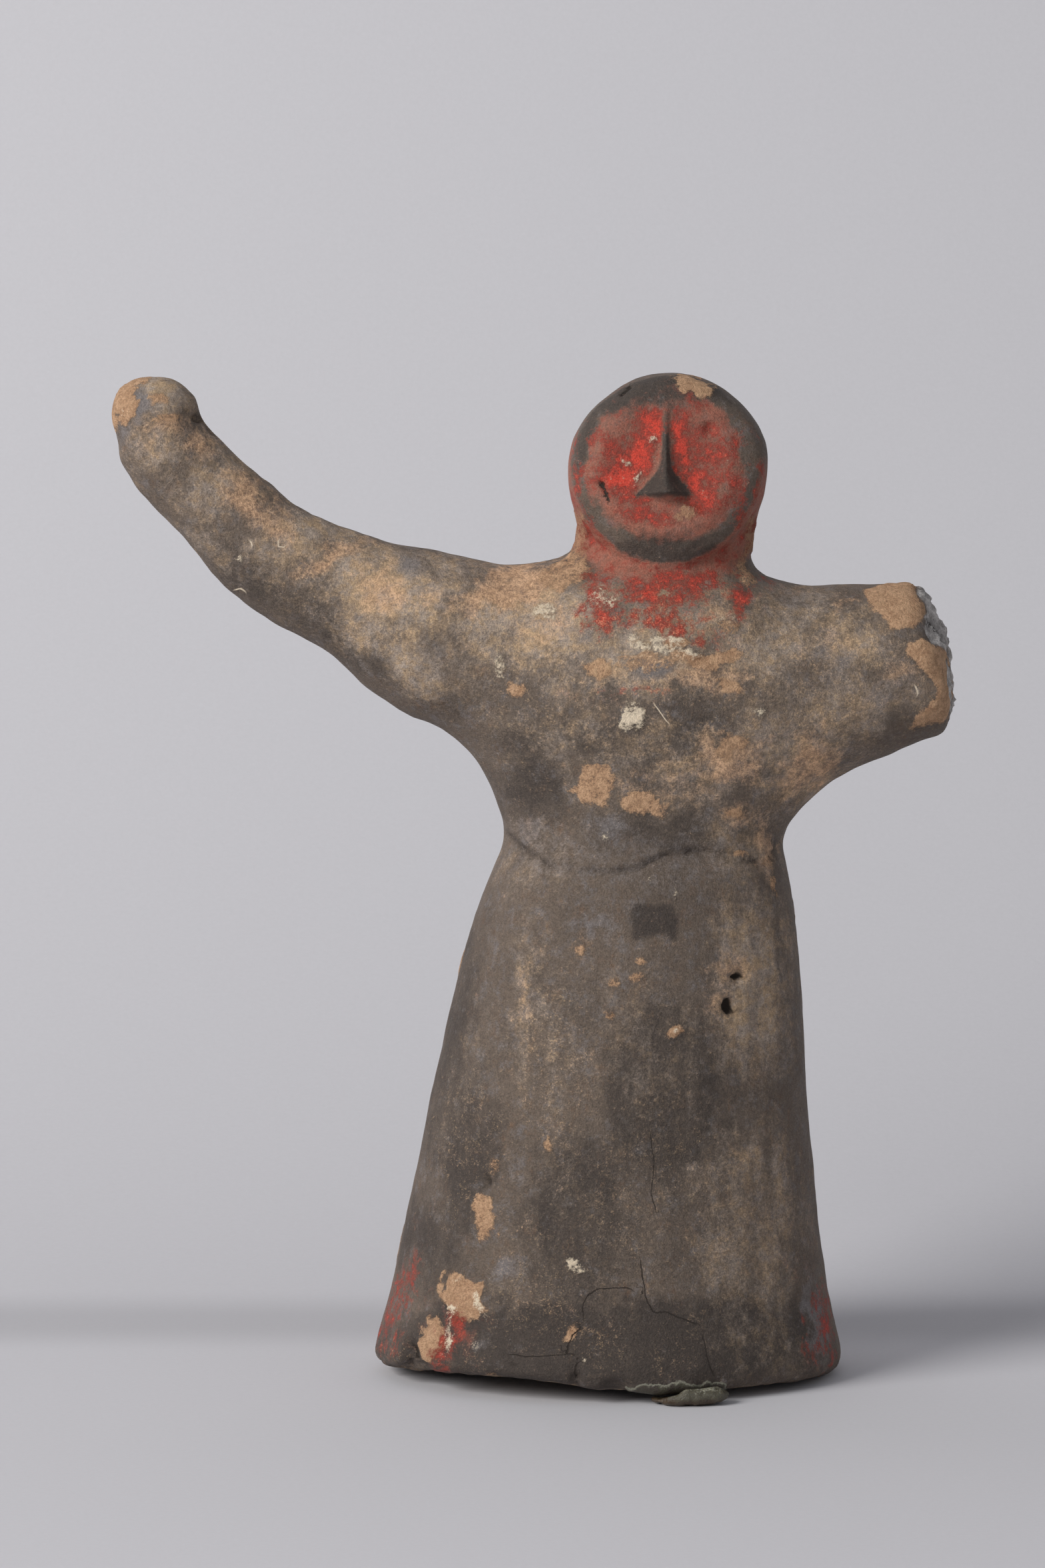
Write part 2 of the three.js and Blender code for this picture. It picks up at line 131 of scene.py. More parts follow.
# Raised tan soil and bare tan clay.
SOIL = {
    "crown_chip": Mark(1040, 577, 36, 13, 0.85, 14),
    "crown_chip_tail": Mark(1062, 592, 12, 6, 0.8),
    "under_nose": Mark(1034, 766, 24, 12, 0.7, -20),
    "left_shoulder_top": Mark(838, 868, 40, 26, 0.6, -30),
    "neck_right": Mark(1125, 812, 14, 46, 0.6, 10),
    "breast_left": Mark(895, 1005, 30, 20, 0.7, -15),
    "breast_right": Mark(1085, 985, 32, 12, 0.8, -10),
    "dot_left": Mark(775, 1036, 16, 14, 0.8),
    "belly_patch": Mark(898, 1176, 33, 34, 0.68),
    "belly_patch_right": Mark(968, 1209, 38, 21, 0.68, 8),
    "skirt_spot_a": Mark(868, 1422, 11, 13, 0.6),
    "skirt_spot_b": Mark(961, 1441, 10, 7, 0.9),
    "skirt_spot_c": Mark(954, 1466, 14, 6, 0.8, -20),
    "skirt_spot_d": Mark(919, 1475, 8, 6, 0.8),
    "skirt_spot_e": Mark(912, 1523, 12, 8, 0.8),
    "skirt_orange": Mark(1014, 1547, 13, 10, 1.0),
    "skirt_streak_end": Mark(822, 1718, 7, 12, 0.9, -25),
    "skirt_smudge": Mark(742, 1746, 10, 18, 0.55),
    "skirt_patch": Mark(725, 1825, 20, 38, 0.7, -8),
    "foot_patch": Mark(694, 1945, 32, 36, 1.0, -20),
    "foot_patch_low": Mark(646, 2014, 16, 34, 0.95, 12),
    "foot_crack_edge": Mark(857, 1999, 7, 16, 0.8, 35),
    "hem_left": Mark(733, 2068, 9, 7, 0.8),
    "hand_edge": Mark(184, 595, 20, 46, 1.0, 12),
    "hand_top": Mark(213, 566, 26, 9, 1.0, -24),
    "hand_crease": Mark(252, 630, 28, 9, 0.62, 6),
    "hand_spot": Mark(240, 598, 18, 11, 0.7),
    "collar_sand_left": Mark(864, 850, 34, 26, 0.62, -30),
    "collar_sand_right": Mark(1114, 862, 18, 26, 0.56, -14),
    "neck_left": Mark(871, 805, 15, 50, 0.6, -8),
    "collar_lump": Mark(1014, 962, 22, 9, 1.0),
    "collar_lump_low": Mark(1050, 990, 30, 13, 0.9, 20),
    "collar_lump_right": Mark(1094, 1028, 20, 12, 0.95, 35),
    "collar_sand": Mark(1090, 940, 26, 14, 0.6),
    "flank_soil": Mark(1100, 1118, 34, 22, 0.62),
    "flank_soil_low": Mark(1104, 1220, 14, 10, 0.9),
    "waist_soil": Mark(1110, 1282, 16, 6, 0.8, 10),
    "waist_soil_edge": Mark(1162, 1330, 6, 22, 0.7, -8),
    "collar_bed": Mark(985, 985, 60, 18, 0.58),
}

SOIL_OUTLINES = {
    "upper_break_soil": [
        (1295, 885), (1303, 911), (1328, 929), (1335, 945), (1374, 944), (1385, 926),
        (1383, 911), (1374, 897), (1372, 872), (1356, 869), (1322, 874),
    ],
    "lower_break_soil": [
        (1357, 976), (1367, 965), (1385, 958), (1396, 961), (1421, 981), (1424, 1001), (1426, 1054),
        (1417, 1081), (1367, 1095), (1374, 1076), (1403, 1047), (1403, 1029), (1381, 1004),
    ],
}

# Ochre stains that fade out at their edges.
OCHRE = {
    "forearm_streak": Mark(300, 668, 20, 30, 0.9, -40),
    "wrist": Mark(255, 640, 44, 16, 0.8, 6),
    "wrist_low": Mark(225, 665, 40, 16, 0.5, -10),
    "forearm_edge": Mark(370, 745, 30, 56, 0.85, -38),
    "elbow_patch": Mark(412, 780, 26, 34, 0.8, -30),
    "arm_patch": Mark(500, 838, 60, 16, 0.9, -30),
    "arm_patch_low": Mark(575, 880, 50, 40, 0.75, 20),
    "arm_patch_inner": Mark(650, 900, 40, 26, 0.6, 10),
    "left_shoulder": Mark(770, 880, 100, 34, 0.95, -12),
    "left_shoulder_low": Mark(820, 935, 60, 40, 0.6),
    "breast_left_low": Mark(900, 1005, 44, 30, 0.7, -15),
    "breast_right_low": Mark(1095, 1020, 26, 30, 0.8, 30),
    "breast_middle": Mark(1040, 1010, 60, 22, 0.7),
    "neck_low_right": Mark(1080, 915, 50, 28, 0.7),
    "flank_patch": Mark(1100, 1136, 52, 36, 0.85),
    "flank_low": Mark(1104, 1222, 26, 22, 0.8),
    "arm_pit_right": Mark(1212, 1150, 60, 30, 0.85, -40),
    "waist_right_edge": Mark(1150, 1270, 14, 50, 0.8),
    "waist_left_edge": Mark(790, 1240, 20, 40, 0.4),
    "stump_top": Mark(1265, 905, 30, 14, 0.7),
    "stump_middle": Mark(1245, 955, 34, 18, 0.6, 20),
    "stump_right": Mark(1345, 1010, 40, 22, 0.6, -30),
    "stump_low": Mark(1210, 1110, 44, 20, 0.6, -20),
    "torso_low": Mark(1000, 1180, 110, 40, 0.4),
    "skirt_streak": Mark(786, 1500, 16, 80, 0.42, 2),
    "hole_crust": Mark(1098, 1452, 36, 24, 0.75),
    "hole_crust_low": Mark(1072, 1500, 30, 34, 0.6),
    "skirt_stain": Mark(868, 1424, 16, 20, 0.6),
    "hem_stain": Mark(880, 2010, 30, 30, 0.35),
}

# Clusters of pale and ochre grains.
FLECKS = {
    "hem_left_cluster": Mark(800, 1950, 70, 60, 0.8),
    "hem_cluster": Mark(893, 2015, 34, 30, 1.0),
    "foot_cluster": Mark(705, 2030, 20, 44, 0.9),
    "foot_cluster_high": Mark(780, 1880, 40, 60, 0.6),
    "skirt_cluster": Mark(830, 1600, 60, 160, 0.6),
    "skirt_cluster_low": Mark(1000, 1800, 130, 120, 0.5),
    "skirt_cluster_left": Mark(700, 1720, 50, 120, 0.6, 8),
    "hem_cluster_right": Mark(1010, 2020, 60, 40, 0.5),
    "hem_corner": Mark(600, 2030, 40, 20, 0.8),
    "chest": Mark(950, 1020, 230, 130, 0.6),
    "shoulder": Mark(800, 960, 110, 70, 0.7),
    "stump": Mark(1250, 1000, 130, 90, 0.6),
    "arm": Mark(540, 880, 160, 80, 0.5, 20),
}

# Thin beige film left by burial, soft at its edges; some marks below are painted light, as their comments
# say.
FILM = {
    "forearm_upper": Mark(330, 720, 60, 40, 0.8, -45),
    "forearm_wrist": Mark(235, 665, 50, 34, 0.75, -35),
    "elbow": Mark(455, 800, 80, 46, 0.8, -25),
    "upper_arm": Mark(590, 880, 120, 60, 0.85, 14),
    "upper_arm_low": Mark(600, 970, 120, 50, 0.62, 32),
    "shoulder_left": Mark(800, 930, 130, 70, 0.82),
    "breast": Mark(920, 990, 160, 60, 0.62),
    "breast_right": Mark(1130, 960, 100, 60, 0.62),
    "stump_lower": Mark(1290, 1060, 110, 60, 0.5, -20),
    "armpit_right": Mark(1205, 1150, 80, 70, 0.6, -30),
    "belly": Mark(1000, 1150, 170, 80, 0.36),
    "waist_right": Mark(1120, 1270, 60, 60, 0.5),
    "waist_left": Mark(800, 1290, 60, 50, 0.36),
    "skirt_streak_a": Mark(790, 1500, 20, 100, 0.5, 2),
    "skirt_streak_b": Mark(838, 1620, 14, 110, 0.42, 2),
    "skirt_middle": Mark(950, 1560, 140, 120, 0.2),
    # Partly film and partly painted light: the skirt's right side is lightened where the lamp's light falls
    # off.
    "skirt_right": Mark(1130, 1480, 60, 130, 0.66),
    "skirt_low": Mark(920, 1800, 160, 160, 0.12),
    "skirt_left": Mark(700, 1640, 40, 130, 0.14, 8),
    # Partly film and partly painted light, lightening the lower right of the skirt.
    "skirt_right_low": Mark(1120, 1830, 90, 150, 0.45),
    "forearm_low": Mark(300, 800, 26, 70, 0.5, -40),
    "arm_low_edge": Mark(500, 950, 70, 16, 0.6, 32),
    "torso_left": Mark(840, 1100, 100, 60, 0.4),
    "shoulder_right": Mark(1200, 915, 80, 40, 0.5),
    "stump_upper": Mark(1270, 965, 80, 54, 0.62),
    "torso_right": Mark(1165, 1090, 70, 50, 0.55),
    "hand": Mark(245, 585, 62, 50, 0.85),
    "neck_front": Mark(1010, 930, 110, 60, 0.6),
    "hem_right_film": Mark(1150, 2000, 80, 60, 0.3),
    # Painted light: pale film along the top edges of the arm and shoulder, where the light falls.
    "arm_top_edge": Mark(350, 690, 60, 14, 0.8, 42),
    "arm_top_edge_low": Mark(480, 775, 90, 14, 0.8, 32),
    "shoulder_top_edge": Mark(640, 835, 120, 14, 0.7, 10),
}

# Red pigment: worn over the face, thick in the neck's hollow, traces at the hem.
RED = {
    "cheek_right": Mark(1055, 705, 66, 78, 0.52),
    "cheek_left": Mark(925, 700, 48, 62, 0.5),
    "brow_left": Mark(978, 640, 26, 28, 1.0, 20),
    "nose_left": Mark(960, 690, 20, 34, 0.9),
    "cheek_left_bright": Mark(932, 715, 34, 22, 1.0, -20),
    "cheek_left_low": Mark(945, 745, 30, 14, 0.8, 10),
    "nose_right_bright": Mark(1022, 660, 15, 52, 1.0, 6),
    "nose_right_flare": Mark(1042, 715, 24, 22, 1.0, 30),
    "brow_right": Mark(1028, 618, 30, 24, 0.5),
    "chin": Mark(975, 775, 56, 14, 0.6),
    "under_nose_left": Mark(962, 764, 26, 9, 0.85),
    "temple_dash": Mark(928, 610, 6, 14, 1.0, 8),
    "temple_left": Mark(900, 655, 22, 40, 0.5),
    "head_edge_left": Mark(862, 700, 9, 70, 0.62),
    "head_edge_right": Mark(1138, 760, 9, 70, 0.55),
    "head_edge_low_left": Mark(880, 785, 12, 34, 0.6, -20),
    "under_chin": Mark(1010, 850, 100, 10, 0.4),
    "throat": Mark(1004, 875, 80, 32, 0.6),
    "throat_bright": Mark(1000, 868, 34, 14, 1.0),
    "throat_spot": Mark(1014, 903, 14, 12, 1.0),
    "throat_low": Mark(1000, 928, 30, 26, 0.66, -10),
    "collar_left_high": Mark(890, 890, 14, 34, 0.75),
    "collar_right": Mark(1108, 905, 14, 34, 0.75, 22),
    "breast_speck": Mark(1054, 961, 18, 10, 0.75),
    "breast_line": Mark(955, 1035, 40, 5, 0.5, -3),
    "hem_far_left": Mark(588, 1975, 22, 64, 0.5, 10),
    "hem_far_left_streak": Mark(614, 1930, 10, 30, 0.66, 8),
    "foot_red": Mark(668, 2020, 14, 28, 0.8, 15),
    "foot_red_bright": Mark(685, 1982, 13, 16, 1.0, 8),
    "hem_right": Mark(1236, 1985, 12, 52, 0.62, -10),
    "hem_right_inner": Mark(1210, 1995, 5, 40, 0.5, -12),
    "throat_wide": Mark(985, 900, 100, 46, 0.48),
    "collar_edge_right": Mark(1135, 868, 20, 5, 0.6, 14),
    "collar_left": Mark(905, 925, 30, 24, 0.62),
    "brow_streak": Mark(1036, 598, 26, 14, 0.75, 25),
    "cheek_right_mid": Mark(1075, 700, 36, 50, 0.5),
    "cheek_right_low": Mark(1060, 745, 40, 26, 0.45),
    "cheek_left_mid": Mark(955, 675, 28, 24, 1.0, 30),
    "cheek_left_edge": Mark(893, 715, 12, 22, 0.8, 20),
    "brow_right_b": Mark(1046, 640, 24, 14, 0.75),
    "cheek_right_a": Mark(1079, 700, 14, 18, 0.66),
    "cheek_right_b": Mark(1108, 735, 18, 26, 0.6),
    "cheek_right_c": Mark(1088, 662, 16, 12, 0.65),
    "cheek_right_d": Mark(1102, 770, 14, 10, 0.6),
}

# White and cream crusts.
WHITE = {
    "face_cream": Mark(977, 657, 9, 7, 0.8),
    "collar_crust": Mark(985, 968, 46, 9, 0.7, 4),
    "collar_crust_a": Mark(1012, 958, 16, 7, 0.85, 10),
    "collar_crust_b": Mark(1036, 978, 20, 7, 0.8, 14),
    "collar_crust_c": Mark(950, 958, 14, 8, 0.7),
    "breast_spot": Mark(951, 1078, 18, 19, 1.0),
    "breast_spot_tail": Mark(947, 1060, 8, 8, 0.8),
    "right_dot": Mark(1140, 1067, 10, 7, 0.9),
    "left_patch": Mark(812, 920, 24, 14, 0.66, 20),
    "left_patch_low": Mark(752, 1000, 12, 26, 0.6),
    "waist_dot": Mark(909, 1255, 4, 6, 1.0),
    "skirt_dot": Mark(1014, 1340, 3, 3, 1.0),
    "skirt_dot_b": Mark(975, 1316, 3, 3, 0.9),
    "orange_core": Mark(1014, 1545, 6, 4, 0.8),
    "spot_white_low": Mark(861, 1897, 9, 13, 0.85, -20),
    "spot_white_tail": Mark(872, 1906, 12, 4, 0.8, 20),
    "foot_fringe": Mark(719, 1956, 7, 22, 0.8, -25),
    "foot_fringe_top": Mark(690, 1920, 18, 5, 0.6, -15),
    "foot_white": Mark(680, 1965, 10, 7, 0.8),
    "foot_white_low": Mark(670, 2008, 8, 34, 0.75, 12),
    "crack_white": Mark(877, 2040, 8, 5, 0.8),
    "arm_speck": Mark(360, 837, 5, 4, 1.0, 25),
    "hand_dot": Mark(184, 620, 3, 4, 1.0),
    "throat_flecks": Mark(900, 900, 26, 20, 0.5),
    "collar_flecks": Mark(1090, 930, 24, 12, 0.45),
    "face_flecks": Mark(925, 715, 40, 36, 0.24),
    "face_flecks_right": Mark(1085, 720, 40, 40, 0.24),
    "chin_flecks": Mark(1030, 768, 30, 12, 0.3, -15),
    "collar_crust_d": Mark(990, 985, 60, 26, 0.34),
    "collar_crust_e": Mark(985, 958, 12, 6, 0.95),
    "cheek_flake": Mark(942, 695, 10, 5, 0.8, 15),
    "cheek_flake_low": Mark(957, 716, 5, 13, 0.75, 30),
    "grey_dab": Mark(714, 2017, 8, 6, 0.7),
}

# Smooth blue-grey bare places; on the hand, partly a painted highlight.
GREY = {
    # Partly bare grey clay and partly a painted highlight of the hand's sheen.
    "hand_grey": Mark(205, 604, 26, 26, 1.0, -10),
    "hand_grey_low": Mark(184, 652, 14, 18, 0.8),
    "cheek_grey": Mark(943, 695, 9, 6, 0.9, 10),
    "cheek_grey_low": Mark(955, 716, 6, 12, 0.8, 30),
    "collar_grey": Mark(985, 1000, 32, 16, 0.9),
    "collar_grey_top": Mark(945, 985, 16, 12, 0.55),
    "waist_grey": Mark(915, 1242, 50, 22, 0.6, 10),
    "waist_grey_left": Mark(790, 1250, 40, 26, 0.5, 20),
    "waist_grey_right": Mark(1060, 1225, 30, 12, 0.5),
    "skirt_grey": Mark(905, 1385, 34, 40, 0.55),
    "skirt_grey_spot": Mark(759, 1903, 17, 14, 1.0),
    "foot_grey_spot": Mark(718, 2018, 9, 6, 1.0),
    "hem_grey_streak": Mark(1222, 1975, 12, 70, 0.8, -12),
    "stump_grey": Mark(1265, 985, 22, 26, 0.55),
    "stump_grey_low": Mark(1335, 1040, 55, 22, 0.55, -30),
    "arm_grey": Mark(610, 850, 46, 20, 0.5, 14),
    "hand_grey_side": Mark(262, 590, 26, 30, 0.4),
    "stump_grey_blue": Mark(1263, 995, 26, 22, 0.7, 30),
    "throat_grey": Mark(915, 880, 16, 12, 0.6),
    "waist_band": Mark(960, 1290, 220, 46, 0.4),
    "shoulder_grey": Mark(1190, 900, 50, 14, 0.5),
    "breast_grey": Mark(870, 950, 34, 24, 0.6),
    "arm_grey_a": Mark(612, 842, 30, 24, 0.7, 20),
    "arm_grey_b": Mark(545, 925, 34, 14, 0.6, 30),
    "forearm_grey": Mark(250, 680, 40, 10, 0.45, 20),
}

# Deeply burnished dark places; the strips along the arm's underside are painted shade.
DARK = {
    "brow": Mark(985, 590, 60, 16, 0.5),
    "forehead_left": Mark(950, 625, 26, 26, 0.45),
    "eye_spot": Mark(1065, 641, 13, 13, 0.9),
    # Painted shade: darker strips along the underside of the forearm and upper arm.
    "forearm_low": Mark(370, 860, 80, 30, 0.5, 38),
    "arm_low": Mark(500, 950, 90, 26, 0.5, 32),
    "torso_left": Mark(850, 1110, 90, 40, 0.45),
    "torso_middle": Mark(1010, 1110, 70, 70, 0.5),
    "torso_low_left": Mark(800, 1180, 50, 50, 0.6),
    "torso_low_right": Mark(1010, 1250, 90, 30, 0.5),
    "stump_top": Mark(1220, 920, 60, 22, 0.5),
    "skirt_left_edge": Mark(680, 1560, 30, 160, 0.5, 12),
    "skirt_mid_low": Mark(870, 1840, 80, 130, 0.6),
    "foot_middle": Mark(640, 1860, 46, 60, 0.55),
    "foot_dark": Mark(800, 2010, 60, 50, 0.6),
    "skirt_middle_low": Mark(1000, 1650, 90, 140, 0.6),
    "skirt_low_right": Mark(1130, 2000, 100, 60, 0.7),
    "skirt_left_low": Mark(700, 1730, 40, 110, 0.7, 8),
    "hem_all": Mark(900, 2020, 330, 70, 0.85),
}

# Holes; the strength sets how deep each is and how much painted shade darkens it.
HOLES = {
    "upper_hole": Mark(1110, 1465, 9, 7, 0.95, -15),
    "upper_hole_side": Mark(1102, 1462, 5, 3, 0.5),
    "lower_hole": Mark(1094, 1512, 8, 12, 1.0, -10),
    "cheek_slit_top": Mark(902, 724, 4, 4, 0.5),
    "skirt_pit": Mark(919, 1522, 5, 4, 0.4),
    "skirt_nick": Mark(733, 1772, 4, 10, 0.6, -14),
    "collar_pit": Mark(1028, 972, 5, 4, 0.4),
    "hem_pit": Mark(770, 2046, 5, 3, 0.4),
    "collar_pit_a": Mark(1018, 967, 5, 3, 0.35),
    "collar_pit_b": Mark(1004, 974, 3, 3, 0.3),
    "collar_pit_c": Mark(1052, 987, 5, 3, 0.3),
    "lower_hole_step": Mark(1103, 1519, 5, 4, 0.6),
    "eye_spot": Mark(1064, 640, 9, 9, 0.3),
}

# Dents and worn places that keep the clay's colour, with their depth in millimetres as the strength.
DENTS = {
    "hem_notch": Mark(617, 2036, 9, 26, 0.7),
    "hem_notch_wide": Mark(622, 2058, 24, 14, 0.5),
    "hem_nick": Mark(864, 2070, 6, 12, 0.5),
    "hem_nick_low": Mark(740, 2066, 10, 6, 0.25),
    "hem_step_right": Mark(925, 2078, 20, 8, 0.3),
    "eye_dimple": Mark(1066, 643, 14, 14, 0.14),
    "rough_place": Mark(1103, 1440, 26, 34, 0.12),
    "hand_crease": Mark(270, 623, 30, 6, 0.12, -8),
    "crown_rut": Mark(975, 560, 34, 3, 0.08, -6),
    "hand_notch": Mark(304, 624, 13, 8, 0.9, -20),
    "hand_notch_low": Mark(322, 642, 20, 8, 0.4, 42),
}


class Crack(NamedTuple):
    """A run of pixels along a crack, with half its width in pixels and its depth in millimetres."""

    half_width: float
    depth: float
    run: tuple


# Cracks and slits, darkened inside with painted shade.
CRACKS = {
    "cheek_slit": Crack(2.4, 0.3, ((901, 722), (905, 733), (908, 742), (915, 758))),
    "crown_slit": Crack(1.8, 0.25, ((947, 577), (938, 585), (930, 595))),
    "crown_line": Crack(0.8, 0.05, ((930, 572), (958, 560), (985, 556))),
    "hem_left_rise": Crack(
        0.6, 0.05,
        ((876, 1989), (874, 1962), (880, 1942), (898, 1934), (925, 1931), (943, 1931), (958, 1942)),
    ),
    "long_crack": Crack(
        0.7, 0.05,
        ((960, 1880), (963, 1915), (970, 1947), (980, 1967), (1003, 1970), (1032, 1982), (1062, 1990)),
    ),
    "hem_right_crack": Crack(0.7, 0.06, ((1056, 2000), (1062, 2034), (1068, 2052), (1075, 2069))),
    "hem_left_fall": Crack(0.9, 0.08, ((876, 1989), (860, 2000), (853, 2012), (851, 2031), (868, 2034))),
    "hem_left_base": Crack(1.0, 0.1, ((866, 2036), (862, 2056), (864, 2076))),
    "hem_sideways": Crack(0.5, 0.03, ((759, 2031), (800, 2035), (850, 2032))),
    "break_recess": Crack(2.6, 0.5, ((1390, 927), (1400, 938), (1408, 950), (1416, 966))),
    "hem_notch_line": Crack(1.6, 0.2, ((617, 2012), (615, 2030), (618, 2046))),
    "skirt_hair_crack": Crack(0.5, 0.03, ((975, 1690), (982, 1740), (976, 1790), (990, 1830))),
}

# The rolled lower edge of the torso over the skirt's band, run from left to right; the crease under it is
# also darkened with painted shade.
FOLDS = {
    "waist_left": Crack(5.0, 0.2, ((752, 1240), (775, 1262), (796, 1277), (825, 1297), (871, 1303))),
    "waist_middle": Crack(
        5.0, 0.14,
        ((825, 1297), (871, 1303), (912, 1306), (953, 1300), (1005, 1277), (1057, 1273), (1125, 1276)),
    ),
    "waist_right": Crack(5.0, 0.25, ((1112, 1284), (1144, 1294), (1158, 1276), (1172, 1256))),
}

# The bare dark square under the waist.
DARK_OUTLINES = {
    "skirt_square": [
        (950, 1359), (1004, 1358), (1018, 1385), (1012, 1410), (985, 1404), (952, 1408), (945, 1380),
    ],
}

# Pale lint and a scratch that lie on the clay.
FIBRES = {
    "arm_curl": Crack(1.0, 0.0, ((420, 808), (416, 813), (417, 819), (423, 821), (429, 818))),
    "arm_thread": Crack(1.0, 0.0, ((375, 810), (379, 815), (378, 822))),
    "elbow_thread": Crack(1.0, 0.0, ((351, 884), (362, 882), (370, 889))),
    "stump_thread": Crack(1.2, 0.0, ((1371, 1027), (1375, 1033), (1377, 1041), (1374, 1047))),
    "breast_scratch": Crack(0.8, 0.0, ((980, 1052), (990, 1070), (1005, 1087))),
}

# The wax pressed on the hem.
WAX_OUTLINES = {
    "smear": [
        (939, 2084), (952, 2080), (966, 2073), (974, 2076), (999, 2073), (1024, 2073), (1042, 2076),
        (1067, 2072), (1080, 2074), (1093, 2079), (1092, 2096), (1040, 2100), (959, 2094),
    ],
}

# The broken end of the arm.
BREAK_OUTLINES = {
    "torn_end": [
        (1369, 862), (1400, 862), (1450, 930), (1455, 1092), (1424, 1088), (1423, 1040), (1425, 1004),
        (1421, 981), (1398, 961), (1388, 940), (1386, 915), (1375, 888),
    ],
}



class View(NamedTuple):
    """What the photograph sees of each vertex: its pixel, how well it shows, and how marks waver there."""

    pixels: np.ndarray
    seen: np.ndarray
    waver: np.ndarray


def photo_pixels(points):
    """The photograph's pixel x and y of each point, y counted downwards."""
    away = points - CAMERA_PLACE
    depth = -away @ TOWARDS_CAMERA
    x = PHOTO_WIDTH / 2 + PIXELS_PER_SLOPE * away[:, 0] / depth
    y = PHOTO_HEIGHT / 2 - PIXELS_PER_SLOPE * (away @ CAMERA_UP) / depth
    return np.column_stack((x, y))


def ease(low, high, value):
    """A smooth step from 0 to 1 between two values, which may be in falling order."""
    t = np.clip((value - low) / (high - low), 0, 1)
    return t * t * (3 - 2 * t)


def lumps(points, size, seed, octaves=1):
    """Smooth noise between about -1 and 1 with features of one size, the same on every run."""
    cells = 64
    total = np.zeros(len(points))
    for octave in range(octaves):
        lattice = np.random.default_rng(seed + octave).uniform(-1, 1, (cells, cells, cells))
        place = points / size * 2**octave
        base = np.floor(place).astype(int)
        along = place - base
        along = along * along * (3 - 2 * along)
        for corner in itertools.product((0, 1), repeat=3):
            weight = np.prod(np.where(corner, along, 1 - along), axis=1)
            i, j, k = ((base + corner) % cells).T
            total += weight * lattice[i, j, k] / 2**octave
    return total


def oval_reach(pixels, waver, mark):
    """How far inside a ragged oval mark each pixel is, in pixels; negative outside."""
    turn = math.radians(mark.turn)
    raggedness = min(RAGGED_EDGE, 0.5 * math.sqrt(mark.half_width * mark.half_height))
    dx = pixels[:, 0] - mark.x + raggedness * waver[:, 0]
    dy = pixels[:, 1] - mark.y + raggedness * waver[:, 1]
    along = dx * math.cos(turn) + dy * math.sin(turn)
    across = dy * math.cos(turn) - dx * math.sin(turn)
    radius = np.hypot(along / mark.half_width, across / mark.half_height)
    return (1 - radius) * math.sqrt(mark.half_width * mark.half_height)


def outline_reach(pixels, corners):
    """How far inside a closed outline each pixel is, in pixels; negative outside."""
    nearest = np.full(len(pixels), np.inf)
    inside = np.zeros(len(pixels), bool)
    ends = np.array(corners, float)
    for start, end in zip(ends, np.roll(ends, -1, axis=0)):
        span = end - start
        off = pixels - start
        t = np.clip(off @ span / (span @ span), 0, 1)
        nearest = np.minimum(nearest, np.hypot(*(off - t[:, None] * span).T))
        crosses = (start[1] > pixels[:, 1]) != (end[1] > pixels[:, 1])
        rise = span[1] if span[1] else 1e-9
        inside ^= crosses & (off[:, 0] < span[0] * off[:, 1] / rise)
    return np.where(inside, nearest, -nearest)


def painted(view, marks, softness, outlines=()):
    """A field that is a half on the marks' edges and rises inwards over the softness, in pixels."""
    field = np.zeros(len(view.pixels))
    for mark in marks.values():
        reach = oval_reach(view.pixels, view.waver, mark)
        field = np.maximum(field, mark.strength * np.clip(0.5 + reach / softness, 0, 1))
    for corners in outlines:
        reach = outline_reach(view.pixels + 5 * view.waver, corners)
        field = np.maximum(field, np.clip(0.5 + reach / softness, 0, 1))
    return field * view.seen


def crack_fields(view, cracks):
    """The signed distance to the nearest crack in half widths, how open it is, and its depth."""
    pixels = view.pixels + 2 * view.waver
    nearest = np.full(len(pixels), FAR_PIXELS)
    side = np.full(len(pixels), FAR_PIXELS)
    openness = np.zeros(len(pixels))
    depth = np.zeros(len(pixels))
    for crack in cracks.values():
        points = np.array(crack.run, float)
        lengths = np.hypot(*np.diff(points, axis=0).T)
        reached = np.concatenate(([0], np.cumsum(lengths)))
        for start, span, length, before in zip(points, np.diff(points, axis=0), lengths, reached):
            off = pixels - start
            t = np.clip(off @ span / length**2, 0, 1)
            gap = np.hypot(*(off - t[:, None] * span).T)
            left = span[0] * off[:, 1] < span[1] * off[:, 0]
            nearer = gap < nearest
            share = (before + t * length) / reached[-1]
            ends = ease(0, 0.12, share) * ease(1, 0.85, share)
            nearest = np.where(nearer, gap, nearest)
            side = np.where(nearer, np.where(left, -gap, gap) / crack.half_width, side)
            open_here = ends * ease(5 * crack.half_width + 8, 4 * crack.half_width + 4, gap)
            openness = np.where(nearer, open_here, openness)
            depth_here = crack.depth * np.exp(-((gap / (crack.half_width + 2.5)) ** 2))
            depth = np.where(nearer, depth_here, depth)
    openness *= view.seen
    return side, openness, depth * openness


